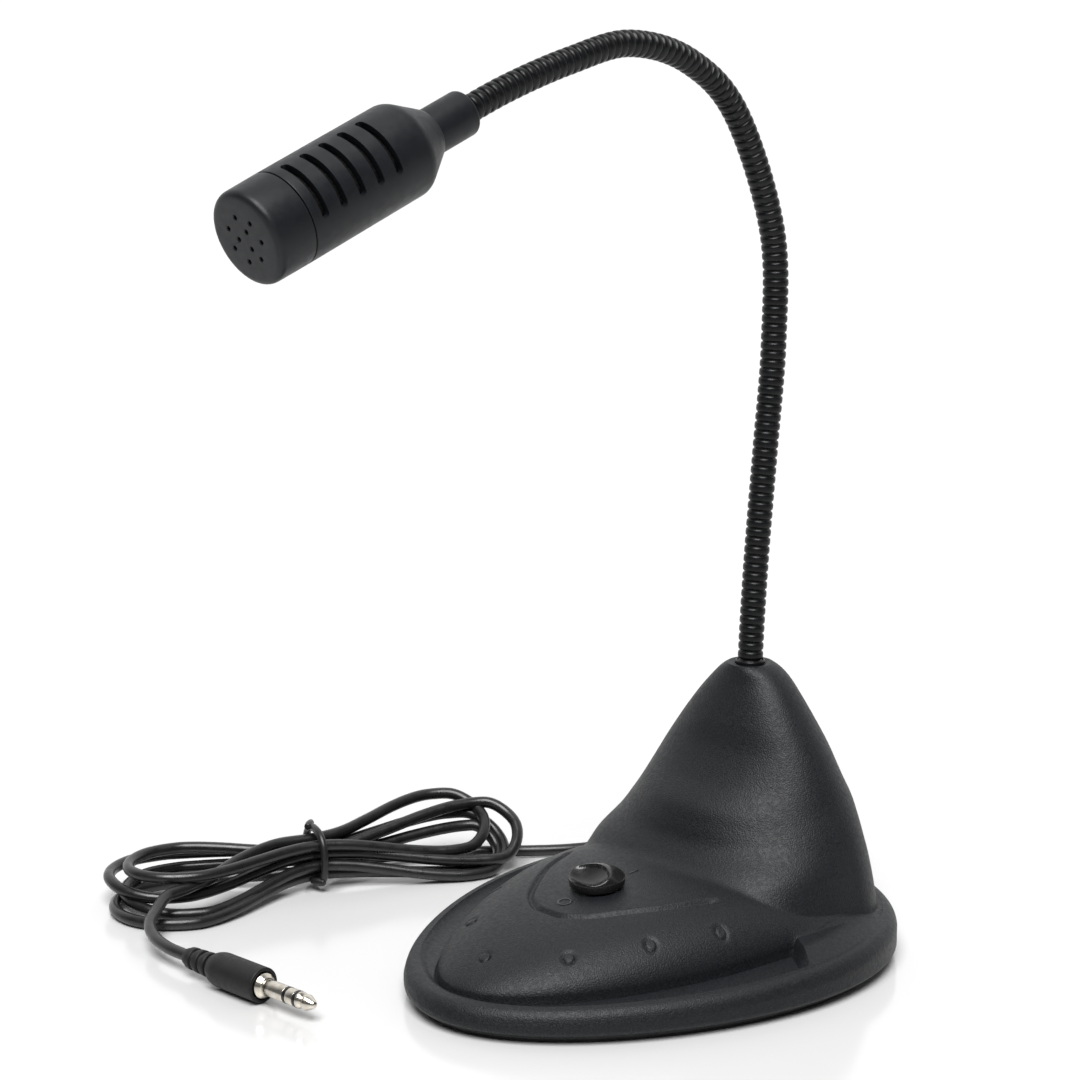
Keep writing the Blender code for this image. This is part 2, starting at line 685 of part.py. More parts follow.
def switch_knob(carrier):
    """Round thumb button with a scoop in its front half and a post through the deck."""
    radius = KNOB_RADIUS
    top = KNOB_LIFT + KNOB_HEIGHT
    profile = [(0.0, top), (0.45 * radius, top - 0.12), (0.75 * radius, top - 0.55),
               (0.94 * radius, top - 1.3), (radius, KNOB_LIFT + 0.9), (0.97 * radius, KNOB_LIFT),
               (0.0, KNOB_LIFT)]
    knob = turned("switch_knob", profile, glossy_black(), 28)
    place(knob, parent=carrier)
    knob.rotation_euler = (SWITCH_TILT, 0.0, 0.0)
    post_top = KNOB_LIFT + 0.75
    post_bottom = slider_bottom() + SLIDER_SIZE[2] + GAP - deck_top()
    centre = (0.0, 0.0, 0.5 * (post_top + post_bottom))
    post = box("knob_post", (*POST_SIZE, post_top - post_bottom), centre, None, CUTTERS)
    place(post, centre, parent=carrier)
    weld(knob, post)
    bpy.ops.mesh.primitive_uv_sphere_add(segments=20, ring_count=12, radius=5.0 * MM)
    scoop = adopt("knob_scoop", (0.0, -2.6, top + 3.4), None, CUTTERS)
    scoop.scale = (0.86, 0.74, 1.0)
    scoop.parent = carrier
    cut(knob, scoop)
    return knob


def slide_switch():
    switch_board()
    switch_can()
    carrier = empty("switch_axis", (0.0, KNOB_Y, deck_top()))
    switch_slider(carrier)
    switch_knob(carrier)


# --- gooseneck -----------------------------------------------------------------------------

NECK = Path([(0.0, y, z) for y, z in NECK_PATH])
HEAD_DIRECTION = Vector((0.0, -math.cos(HEAD_PITCH), -math.sin(HEAD_PITCH)))
NECK_END = NECK.length - NECK_IN_COLLAR    # the back end of the collar sits here on the neck
COLLAR_BACK = NECK.at(NECK_END)


def height_to_distance(z):
    return bisect(lambda distance: z - NECK.at(distance).z, 0.0, 0.5 * NECK.length)


def hinge_distances():
    first = height_to_distance(FIRST_HINGE_Z)
    last = NECK_END - LAST_HINGE_BACK
    return [first + (last - first) * k / (HINGE_COUNT - 1) for k in range(HINGE_COUNT)]


def neck_piece(name, start, end, open_start, open_end):
    """A length of ribbed tube. Ends that meet a hinge are shallow cones that clear its swing."""
    recess = NECK_RADIUS * math.tan(0.5 * HINGE_LIMIT + SWING_CLEARANCE)
    low = start + (0.5 * GAP + recess if open_start else 0.0)
    high = end - (0.5 * GAP + recess if open_end else 0.0)
    count = max(3, round((high - low) / 4.0))
    stations = [(low + (high - low) * k / count, NECK_RADIUS) for k in range(count + 1)]
    rings = rings_along(NECK, stations, NECK_SIDES)
    first_tip = NECK.at(start + 0.5 * GAP) if open_start else None
    last_tip = NECK.at(end - 0.5 * GAP) if open_end else None
    origin = NECK.at(start) if open_start else (0.0, 0.0, 0.0)
    return loft(name, rings, satin_black(), tips=(first_tip, last_tip), origin=origin)


def neck_pieces():
    hinges = hinge_distances()
    neck_piece("neck_root", 0.6, hinges[0], False, True)
    for index, (start, end) in enumerate(zip(hinges, hinges[1:])):
        neck_piece(f"neck_link_{index + 1}", start, end, True, True)
    neck_piece("neck_tip", hinges[-1], NECK.length - 0.6, True, False)


def neck_socket():
    """Threaded sleeve that holds the foot of the neck in the cone, with its washer and nut."""
    inner = NECK_RADIUS + GAP
    outer = NECK_BORE - GAP
    top = CONE_TOP - 0.5
    sleeve = [(outer, top), (outer, SOCKET_BOTTOM), (inner, SOCKET_BOTTOM), (inner, top)]
    place(turned("neck_socket", sleeve, steel(), 20, closed=True), (0.0, NECK_Y, 0.0))
    washer_top = CONE_TOP - BORE_DEPTH - GAP
    washer_bottom = washer_top - WASHER_THICKNESS
    washer = [(WASHER_RADIUS, washer_top), (WASHER_RADIUS, washer_bottom), (NECK_BORE, washer_bottom),
              (NECK_BORE, washer_top)]
    place(turned("neck_washer", washer, steel(), 20, closed=True), (0.0, NECK_Y, 0.0))
    nut_top = washer_bottom - GAP
    nut_bottom = nut_top - NUT_HEIGHT
    nut = cylinder("neck_nut", NUT_RADIUS, nut_bottom, nut_top, steel(), 6, (0.0, NECK_Y))
    low, high = nut_bottom - 1.0, nut_top + 1.0
    cut(nut, cylinder("nut_bore", NECK_BORE, low, high, None, 20, (0.0, NECK_Y), CUTTERS))


# --- head ----------------------------------------------------------------------------------

def head_piece(item, holder):
    item.parent = holder
    return item


def sector(name, inner, outer, low, high, centre, half_arc, steps=5):
    """Arc-shaped block round local Z, for a slot."""
    rings = []
    for k in range(steps + 1):
        angle = centre - half_arc + 2.0 * half_arc * k / steps
        side = (math.cos(angle), math.sin(angle))
        rings.append([(inner * side[0], inner * side[1], low), (outer * side[0], outer * side[1], low),
                      (outer * side[0], outer * side[1], high), (inner * side[0], inner * side[1], high)])
    return loft(name, rings, None, collection=CUTTERS)


def slot_cutter():
    """All slots in one tool; they don't touch each other."""
    blocks = []
    for degrees in SLOT_SETS:
        # local +Y is the head's top once the head is pitched into place
        centre = math.radians(90.0 + degrees)
        for k in range(SLOT_COUNT):
            middle = SLOT_FIRST - SLOT_PITCH * k
            blocks.append(sector(f"slot_{int(degrees)}_{k}", HEAD_RADIUS - 3.0, HEAD_RADIUS + 2.0,
                                 middle - 0.5 * SLOT_WIDTH, middle + 0.5 * SLOT_WIDTH, centre, SLOT_HALF_ARC))
    return blocks


def head_body(holder):
    inner = HEAD_RADIUS - HEAD_WALL
    seam = SEAM - 0.5 * GAP
    profile = [(HEAD_RADIUS, seam), (HEAD_RADIUS, TAPER_END + 0.6), (HEAD_RADIUS - 0.5, TAPER_END - 0.4),
               (5.3, COLLAR_LENGTH + 0.4), (5.0, COLLAR_LENGTH), (4.2, COLLAR_LENGTH), (4.2, 15.6),
               (inner, TAPER_END + 1.2), (inner, seam)]
    body = head_piece(turned("head_body", profile, charcoal_abs(), HEAD_SIDES, closed=True), holder)
    for block in slot_cutter():
        head_piece(block, holder)
        cut(body, block)
    return body


def head_cap(holder):
    inner = SPIGOT_RADIUS - SPIGOT_WALL
    bottom = SEAM - SPIGOT_LENGTH
    profile = [(0.0, HEAD_LENGTH), (HEAD_RADIUS - 1.2, HEAD_LENGTH),
               (HEAD_RADIUS - 0.35, HEAD_LENGTH - 0.35), (HEAD_RADIUS, HEAD_LENGTH - 1.2),
               (HEAD_RADIUS, SEAM + GAP / 2), (SPIGOT_RADIUS, SEAM + GAP / 2),
               (SPIGOT_RADIUS, bottom), (inner, bottom), (inner, HEAD_LENGTH - CAP_WALL),
               (0.0, HEAD_LENGTH - CAP_WALL)]
    cap = head_piece(turned("head_cap", profile, charcoal_abs(), HEAD_SIDES), holder)
    for count, reach, turn in CAP_HOLES:
        for k in range(count):
            angle = 2.0 * math.pi * (k + turn) / count
            centre = (reach * math.cos(angle), reach * math.sin(angle))
            hole = cylinder(f"cap_hole_{count}_{k}", CAP_HOLE_RADIUS, HEAD_LENGTH - 2.0 * CAP_WALL,
                            HEAD_LENGTH + 1.0, None, 6, centre, CUTTERS)
            cut(cap, head_piece(hole, holder))
    return cap


def head_collar(holder):
    """Sleeve over the tip of the neck, with a spigot that screws into the body."""
    bore = NECK_RADIUS + GAP
    shoulder = COLLAR_LENGTH - GAP
    profile = [(3.9, 17.0), (3.9, shoulder), (COLLAR_RADIUS, shoulder), (COLLAR_RADIUS, 0.8),
               (COLLAR_RADIUS - 0.7, 0.0), (bore, 0.0), (bore, NECK_IN_COLLAR), (1.6, 8.6), (1.6, 17.0)]
    return head_piece(turned("head_collar", profile, charcoal_abs(), 28, closed=True), holder)


def head_inside(holder):
    inner = HEAD_RADIUS - HEAD_WALL - GAP
    spigot_bottom = SEAM - SPIGOT_LENGTH
    liner_front = spigot_bottom - GAP
    liner = [(inner, liner_front), (inner, 22.5), (inner - 0.9, 22.5), (inner - 0.9, liner_front)]
    head_piece(turned("slot_liner", liner, black_rubber(), 24, closed=True), holder)
    boot_outer = SPIGOT_RADIUS - SPIGOT_WALL - GAP
    boot_inner = CAPSULE_RADIUS + GAP
    front = HEAD_LENGTH - CAP_WALL - GAP
    boot = [(boot_outer, front), (boot_outer, spigot_bottom + 1.0), (boot_inner, spigot_bottom + 1.0),
            (boot_inner, front)]
    head_piece(turned("capsule_boot", boot, black_rubber(), 20, closed=True), holder)
    back = front - CAPSULE_LENGTH
    can = [(0.0, front), (CAPSULE_RADIUS, front), (CAPSULE_RADIUS, back + 0.3), (CAPSULE_RADIUS - 0.4, back),
           (0.0, back)]
    head_piece(turned("electret_capsule", can, nickel(), 20), holder)
    lead = [(0.0, back - GAP), (0.8, back - GAP), (0.8, 9.0), (0.0, 9.0)]
    head_piece(turned("capsule_lead", lead, satin_black(), 8), holder)


def head():
    hinge = empty("head_hinge", NECK.at(hinge_distances()[-1]))
    back = COLLAR_BACK - NECK.at(hinge_distances()[-1])
    holder = empty("head_axis", back, (math.pi / 2 + HEAD_PITCH, 0.0, 0.0), hinge)
    head_collar(holder)
    head_body(holder)
    head_cap(holder)
    head_inside(holder)


# --- lead, hank and plug ---------------------------------------------------------------------

def cord_tube(name, route, radius=CORD_RADIUS, spacing=3.4, surface=None):
    """Round cord as a poly curve, read from a smooth curve through its route."""
    path = Path(route)
    count = round(path.length / spacing)
    data = bpy.data.curves.new(name, "CURVE")
    data.dimensions = "3D"
    line = data.splines.new("POLY")
    line.points.add(count)
    for k, point in enumerate(line.points):
        point.co = (*(path.at(path.length * k / count) * MM), 1.0)
    data.bevel_depth = radius * MM
    data.bevel_resolution = 2
    data.use_fill_caps = True
    item = bpy.data.objects.new(name, data)
    item.data.materials.append(surface or cord_pvc())
    PARTS.objects.link(item)
    return item


def in_hank(distance, across, z):
    """Place in the hank's own frame: along it from the tie, and across it towards the base."""
    forward = Vector((math.cos(HANK_BEARING), math.sin(HANK_BEARING), 0.0))
    side = Vector((forward.y, -forward.x, 0.0))
    return Vector((*HANK_TIE, z)) + distance * forward + across * side


def rounded_section(row, angle, power, clearance=0.0):
    """Point of a rounded upright section across the hank."""
    distance, far, near, bottom, top = row
    wide = math.copysign(abs(math.cos(angle)) ** power, math.cos(angle))
    tall = math.copysign(abs(math.sin(angle)) ** power, math.sin(angle))
    across = 0.5 * (near + far) + (0.5 * (near - far) + clearance) * wide
    return in_hank(distance, across, 0.5 * (top + bottom) + (0.5 * (top - bottom) + clearance) * tall)


def cord_hank(sides=14):
    angles = [2.0 * math.pi * k / sides for k in range(sides)]
    rings = [[rounded_section(row, angle, 0.7) for angle in angles] for row in HANK_SECTIONS]
    return loft("cord_hank", rings, cord_pvc())


def cord_tie(sides=20, around=8):
    """Round tie drawn about the narrow middle of the hank."""
    distance, far, near, bottom, top = TIE_SECTION
    middle = in_hank(distance, 0.5 * (near + far), 0.5 * (top + bottom))
    along = (in_hank(1.0, 0.0, 0.0) - in_hank(0.0, 0.0, 0.0)).normalized()
    rings = []
    for k in range(sides):
        centre = rounded_section(TIE_SECTION, 2.0 * math.pi * k / sides, 0.8, 2.0 * GAP + TIE_RADIUS)
        outward = (centre - middle).normalized()
        ring = []
        for m in range(around):
            turn = 2.0 * math.pi * m / around
            ring.append(centre + TIE_RADIUS * (math.cos(turn) * outward + math.sin(turn) * along))
        rings.append(ring)
    return loft("cord_tie", rings, satin_black(), wrap=True)


def plug_piece(name, profile, surface, steps=16, closed=False):
    """A turned piece of the plug; local heights run from the cord towards the jack's tip."""
    item = turned(name, profile, surface, steps, closed)
    return place(item, PLUG_START, (0.0, math.pi / 2, PLUG_DIRECTION))


def plug():
    ribs = [(0.0, RELIEF_LENGTH), (2.6, RELIEF_LENGTH)]
    for k in range(3):
        top = RELIEF_LENGTH - 0.9 - 2.4 * k
        ribs += [(1.9, top), (1.9, top - 0.7), (2.6, top - 0.9), (2.6, top - 1.7)]
    ribs += [(1.9, 0.7), (1.7, 0.0), (0.0, 0.0)]
    plug_piece("plug_relief", ribs, black_rubber(), 14)
    start = RELIEF_LENGTH + GAP
    end = start + PLUG_BODY_LENGTH
    radius = PLUG_BODY_RADIUS
    body = [(0.0, end), (radius - 0.5, end), (radius, end - 0.5), (radius, start + 2.0),
            (radius - 0.5, start + 0.5), (radius - 1.0, start), (0.0, start)]
    plug_piece("plug_body", body, satin_black(), 24)
    flange_end = end + GAP + FLANGE_LENGTH
    flange = [(0.0, flange_end), (2.2, flange_end), (2.7, flange_end - 0.4), (2.7, end + GAP),
              (0.0, end + GAP)]
    plug_piece("jack_flange", flange, nickel(), 20)
    jack = flange_end + GAP
    barrel = JACK_RADIUS
    pieces = (("jack_sleeve", 0.0, 5.6, nickel()), ("jack_insulator_1", 5.7, 6.5, satin_black()),
              ("jack_ring", 6.6, 8.6, nickel()), ("jack_insulator_2", 8.7, 9.5, satin_black()))
    for name, low, high, surface in pieces:
        profile = [(0.0, jack + high), (barrel, jack + high), (barrel, jack + low), (0.0, jack + low)]
        plug_piece(name, profile, surface, 16)
    tip = jack + JACK_LENGTH
    profile = [(0.0, tip), (0.5, tip - 0.15), (1.55, tip - 2.2), (barrel, tip - 2.7), (1.1, tip - 3.5),
               (1.15, tip - 3.7), (barrel, tip - 4.4), (0.0, tip - 4.4)]
    plug_piece("jack_tip", profile, nickel(), 16)


def build():
    base_cover()
    bottom_plate()
    anti_slip_pad()
    ballast_weight()
    screws()
    cord_grommet()
    slide_switch()
    cord_tube("cord_signal_lead", CORD_SIGNAL_ROUTE, SIGNAL_RADIUS, 5.0, satin_black())
    cord_tube("neck_signal_lead", NECK_SIGNAL_ROUTE, SIGNAL_RADIUS, 5.0, satin_black())
    neck_socket()
    neck_pieces()
    head()
    cord_tube("cord_lead", LEAD_ROUTE)
    cord_hank()
    cord_tie()
    cord_tube("cord_tail", TAIL_ROUTE)
    plug()


build()
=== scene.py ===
"""Looks of the gooseneck podium microphone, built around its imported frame.

Sizes below are in millimetres in the row frame, as in the part's source: the floor is z = 0,
the base is centred on the origin, the head looks to -Y. Helpers scale them to metres.
"""
import json
import math

import bmesh
import bpy
from mathutils import Euler, Matrix, Vector


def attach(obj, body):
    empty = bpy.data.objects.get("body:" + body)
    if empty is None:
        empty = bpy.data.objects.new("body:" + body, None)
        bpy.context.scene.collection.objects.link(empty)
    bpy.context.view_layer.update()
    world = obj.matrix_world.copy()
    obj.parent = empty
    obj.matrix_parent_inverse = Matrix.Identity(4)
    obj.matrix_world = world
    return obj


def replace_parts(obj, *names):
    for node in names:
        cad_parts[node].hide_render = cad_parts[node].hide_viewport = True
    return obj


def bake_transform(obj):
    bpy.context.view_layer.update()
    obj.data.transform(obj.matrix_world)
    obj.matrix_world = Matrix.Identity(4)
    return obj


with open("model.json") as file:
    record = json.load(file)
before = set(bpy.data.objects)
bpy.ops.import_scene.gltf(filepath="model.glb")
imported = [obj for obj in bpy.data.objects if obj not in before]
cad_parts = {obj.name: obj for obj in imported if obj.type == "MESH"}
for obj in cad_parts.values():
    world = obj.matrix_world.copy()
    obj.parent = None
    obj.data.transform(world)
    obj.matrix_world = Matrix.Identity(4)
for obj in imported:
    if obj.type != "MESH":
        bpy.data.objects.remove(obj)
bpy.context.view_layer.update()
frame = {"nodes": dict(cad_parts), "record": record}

MM = 0.001
GAP = 0.3

# Base cover
BASE_LENGTH = 114.0
BASE_WIDTH = 89.0
EGG = 0.19
COVER_BOTTOM = 1.9
COVER_WALL = 2.0
RIM_FRONT = 6.8
RIM_SLOPE = 0.03
RIM_INSET = 3.4
CHANNEL_DEPTH = 1.2
CHANNEL_END = 33.0
CHANNEL_SLANT = 0.67
REAR_RISE = 2.0
DECK_LENGTH = 103.0
DECK_WIDTH = 64.0
DECK_EDGE = 8.6
DECK_SLOPE = 0.03
DECK_CROWN = 11.4
DECK_CROWN_FALL = (0.002, 0.008)    # per millimetre squared, before and behind the middle
DECK_END = 24.0                # the deck sinks into the plinth behind this y
DECK_END_FALL = 0.06
OUTLINE_END = 16.0             # its outline starts to close in on the cone's foot at this y
BEHIND_BLEND = 1.8
EDGE_STEP = 0.02               # the last ring on the deck, before its edge turns down
EDGE_LIP = 0.3                 # the first ring in the channel
CONE_TOP = 58.6
NECK_Y = 32.6
NECK_BORE = 4.2
BORE_DEPTH = 12.6
# height, half width, reach to the front, reach to the back, squareness of the front half
CONE_SECTIONS = (
    (8.0, 33.5, 40.0, 18.8, 3.0), (14.0, 32.0, 33.5, 18.8, 3.0), (20.0, 30.3, 27.8, 18.3, 3.0),
    (24.5, 28.6, 23.4, 17.8, 2.4), (28.0, 27.0, 21.9, 17.6, 2.1), (31.5, 25.0, 20.2, 17.5, 2.0),
    (36.0, 22.8, 15.4, 15.4, 2.1), (42.0, 19.2, 11.0, 13.7, 2.3), (47.0, 15.7, 9.2, 11.8, 2.3),
    (52.0, 11.9, 7.0, 9.7, 2.3), (55.5, 8.8, 5.5, 8.1, 2.2), (57.6, 6.5, 5.2, 6.3, 2.1),
    (CONE_TOP, 4.9, 4.9, 4.9, 2.0))
COVER_RAYS = 300
CONE_STEPS = 64
DECK_STEPS = 64
CHANNEL_STEPS = 26

# Details moulded into the deck
STUDS = ((0.0, -44.0), (14.3, -34.7), (-14.3, -34.7), (22.6, -20.1), (-22.6, -20.1),
         (27.6, -5.1), (-27.6, -5.1))
STUD_RADIUS = 1.1
DIMPLE_RADIUS = 2.1
STUD_HEIGHT = 0.9
DIMPLE_DEPTH = 0.8
# right half of the groove about the switch, from its middle in front
PANEL_SIDE = ((0.0, -26.9), (3.4, -26.6), (6.6, -24.9), (9.9, -21.9), (15.6, -13.3),
              (18.4, -7.6), (20.0, -3.2), (21.8, 1.4))
PANEL_GROOVE = 0.8
PANEL_GROOVE_WIDTH = 1.15
PANEL_GROOVE_FADE = 3.0
PANEL_REACH = (25.0, -29.0, 3.0)      # |x| limit, lowest and highest y of the groove
DETAIL_REACH = (31.0, -48.0, 4.0)     # the same for all details of the deck

# Switch
KNOB_Y = -12.7
KNOB_RADIUS = 5.8
KNOB_HEIGHT = 3.9
KNOB_LIFT = 0.45
SWITCH_TILT = math.atan(0.089)
BUTTON_SIDES = 112
BUTTON_RINGS = 44
MARK_OFF_Y = -22.0
MARK_ON_Y = -2.2
MARK_SIZE = 1.35               # radius of the ring; the bar reaches 1.4 each way
MARK_BAR = 1.4
MARK_WIDTH = 0.24
MARK_HEIGHT = 0.16

# Gooseneck centre line in the plane x = 0, as (y, z)
NECK_PATH = ((32.4, 41.5), (32.6, 59.0), (33.9, 80.0), (36.1, 103.0), (38.3, 127.0), (37.2, 150.0),
             (26.0, 174.3), (12.0, 185.6), (-4.8, 189.8), (-21.0, 187.2), (-37.9, 182.6), (-53.4, 176.9))
NECK_RADIUS = 2.7
HINGE_COUNT = 9
FIRST_HINGE_Z = 66.0
NECK_IN_COLLAR = 8.0
LAST_HINGE_BACK = 8.0
RIB_PITCH = 1.88
RIB_DEPTH = 0.34
NECK_SIDES = 32

# Head, measured forward from the back end of its collar
HEAD_PITCH = math.radians(20.65)
HEAD_LENGTH = 57.9
HEAD_RADIUS = 9.2
HEAD_WALL = 1.3
COLLAR_START = 2.6             # the collar seen begins here
COLLAR_LENGTH = 12.6
COLLAR_RADIUS = 4.5
TAPER_END = 19.6
SEAM = 49.3
HEAD_SIDES = 144
SLOT_WIDTH = 1.6
SLOT_PITCH = 4.6
SLOT_COUNT = 5
SLOT_FIRST = SEAM - 3.0
SLOT_HALF_ARC = math.radians(43.0)
SLOT_SETS = (131.0, 311.0)
SPIGOT_RADIUS = 7.6
SPIGOT_WALL = 0.9
SPIGOT_LENGTH = 2.8
CAP_WALL = 1.5
CAP_HOLES = ((7, 4.4, 0.0), (3, 1.9, 0.5))    # count, circle radius, turn in pitches
CAP_HOLE_RADIUS = 0.45

# Lead, hank and plug
CORD_RADIUS = 1.3
CORD_EXIT_Z = 5.2
GROMMET_END = 62.0
HANK_TIE = (-83.5, -19.0)
HANK_BEARING = math.radians(65.8)
# the lead's way from the base to the hank
LEAD_ROUTE = ((0.0, GROMMET_END + GAP, CORD_EXIT_Z), (-0.4, 65.0, 4.9), (-2.8, 68.3, 4.0),
              (-7.2, 70.4, 2.8), (-13.0, 71.6, 1.8), (-21.0, 72.8, 1.4), (-30.0, 73.0, 1.4),
              (-38.5, 70.5, 1.4), (-45.0, 64.5, 1.4), (-50.0, 56.0, 1.4), (-55.0, 46.0, 1.4),
              (-60.5, 35.5, 1.4), (-68.5, 25.5, 1.4), (-77.5, 15.0, 1.4), (-84.0, 3.5, 1.5),
              (-86.0, -8.0, 2.3))
# across and height of each pass through the tie, on the far side and on the near side
FAR_PASSES = ((-1.0, 3.15), (-2.3, 5.5), (-3.6, 7.85), (-1.0, 7.85), (-2.3, 10.2))
NEAR_PASSES = ((1.7, 3.15), (3.0, 5.5), (1.7, 7.85), (3.0, 10.2))
# each loop's reach, its near strand (across, height), the height of its tip, its far strand
LEFT_LOOPS = ((46.6, (19.0, 1.35), 1.4, (-8.0, 1.4)), (43.5, (14.0, 1.5), 2.9, (-11.4, 3.7)),
              (46.2, (9.4, 4.1), 5.9, (-14.2, 6.2)), (42.5, (11.4, 9.0), 8.8, (-9.5, 9.0)))
RIGHT_LOOPS = ((43.0, (5.2, 1.3), 4.0, (-6.0, 8.2)), (44.4, (8.3, 1.35), 5.0, (-9.6, 10.4)),
               (47.6, (6.6, 3.75), 8.9, (-7.6, 12.9)), (41.0, (3.9, 6.0), 10.3, (-13.0, 14.3)))
LOOP_DEPTH = 14.0              # the longest a loop's round end may be
# the last stretch, in the hank's own frame and then on the floor
LAST_PASS = ((0.0, -2.3, 10.2), (-9.0, -1.3, 10.1), (-18.0, 2.5, 8.9), (-26.0, 8.0, 7.3), (-32.0, 12.0, 6.9),
             (-37.0, 14.4, 6.5))
TAIL_ROUTE = ((-82.4, -63.8, 5.5), (-78.0, -68.9, 4.7), (-72.3, -71.9, 4.0), (-66.0, -73.2, 3.75),
              (-59.2, -73.35, 3.75))
TIE_SECTION = (0.0, -5.2, 4.6, 2.4, 11.8)
TIE_RADIUS = 0.85
PLUG_START = (-58.9, -73.35, 3.75)
PLUG_DIRECTION = math.radians(2.3)
RELIEF_LENGTH = 8.7
PLUG_BODY_LENGTH = 15.0
PLUG_BODY_RADIUS = 3.7
FLANGE_LENGTH = 1.0
JACK_RADIUS = 1.75
JACK_LENGTH = 14.0

# Camera and light
CAMERA_AT = (0.4162, -0.4239, 0.2228)
CAMERA_BEARING = math.radians(46.5)
CAMERA_PITCH = math.radians(12.6)
CAMERA_LENS = 100.0
ROOM_LIGHT = 0.1
BACKDROP_LIGHT = 1.0
SOFTBOX_LIGHT = 4.8
SOFTBOX_SPREAD = math.radians(42.0)
SOFTBOX_TOWARDS = (0.30, -0.36, 0.88)
BACKDROP_TOWARDS = (-0.72, 0.69, 0.15)


# --- materials ---

def map_range(nodes, start, end, low, high):
    node = nodes.new("ShaderNodeMapRange")
    for socket, number in (("From Min", start), ("From Max", end), ("To Min", low), ("To Max", high)):
        node.inputs[socket].default_value = number
    return node


class Finish:
    """A node material on one Principled shader, with textures read in the object's own space."""

    def __init__(self, name, roughness, metallic=0.0, specular=0.5):
        self.material = bpy.data.materials.new(name)
        self.material.use_nodes = True
        self.nodes = self.material.node_tree.nodes
        self.links = self.material.node_tree.links
        self.shader = self.nodes["Principled BSDF"]
        self.shader.inputs["Roughness"].default_value = roughness
        self.shader.inputs["Metallic"].default_value = metallic
        self.shader.inputs["Specular IOR Level"].default_value = specular
        self.place = self.nodes.new("ShaderNodeTexCoord").outputs["Object"]

    def stretched(self, scale):
        node = self.nodes.new("ShaderNodeMapping")
        node.inputs["Scale"].default_value = scale
        self.links.new(self.place, node.inputs["Vector"])
        return node.outputs["Vector"]

    def noise(self, size, detail=2.0, stretch=None):
        """Noise whose blobs are about size millimetres across."""
        node = self.nodes.new("ShaderNodeTexNoise")
        node.inputs["Scale"].default_value = 1.0 / (size * MM)
        node.inputs["Detail"].default_value = detail
        self.links.new(self.stretched(stretch) if stretch else self.place, node.inputs["Vector"])
        return node.outputs["Fac"]

    def cells(self, size):
        """Rounded cells about size millimetres across."""
        node = self.nodes.new("ShaderNodeTexVoronoi")
        node.feature = "SMOOTH_F1"
        node.inputs["Scale"].default_value = 1.0 / (size * MM)
        self.links.new(self.place, node.inputs["Vector"])
        return node.outputs["Distance"]

    def spread(self, value, low, high, start=0.3, end=0.7):
        node = map_range(self.nodes, start, end, low, high)
        self.links.new(value, node.inputs["Value"])
        return node.outputs["Result"]

    def colour(self, value, low, high, start=0.3, end=0.7):
        node = self.nodes.new("ShaderNodeValToRGB")
        node.color_ramp.elements[0].position = start
        node.color_ramp.elements[0].color = (*low, 1.0)
        node.color_ramp.elements[1].position = end
        node.color_ramp.elements[1].color = (*high, 1.0)
        self.links.new(value, node.inputs["Fac"])
        self.links.new(node.outputs["Color"], self.shader.inputs["Base Color"])

    def rough(self, value, low, high):
        self.links.new(self.spread(value, low, high), self.shader.inputs["Roughness"])

    def bump(self, layers):
        """Layers are (height socket, depth in millimetres), the coarsest first."""
        before = None
        for height, depth in layers:
            node = self.nodes.new("ShaderNodeBump")
            node.inputs["Distance"].default_value = depth * MM
            self.links.new(height, node.inputs["Height"])
            if before:
                self.links.new(before, node.inputs["Normal"])
            before = node.outputs["Normal"]
        if before:
            self.links.new(before, self.shader.inputs["Normal"])


def grey(value, blue=0.0):
    return (value, value * (1.0 + 0.4 * blue), value * (1.0 + blue))


def dark_foam():
    """Open-cell liner behind the slots."""
    finish = Finish("dark_foam", 0.9, specular=0.1)
    pores = finish.cells(0.5)
    finish.colour(pores, grey(0.002), grey(0.009), 0.1, 0.6)
    finish.rough(finish.noise(0.6), 0.82, 0.95)
    finish.bump(((pores, 0.15),))
    return finish.material


def plain_finish(name, roughness, specular, metallic, stains, wear, bumps):
    """Stains are (noise, two colours, and where their ramp starts and ends if that isn't the usual),
    wear is (noise, two roughnesses) and bumps are (noise, depth)."""
    finish = Finish(name, roughness, metallic, specular)
    noise, *ramp = stains
    finish.colour(finish.noise(*noise), *ramp)
    noise, low, high = wear
    finish.rough(finish.noise(*noise), low, high)
    finish.bump([(finish.noise(*noise), depth) for noise, depth in bumps])
    return finish.material


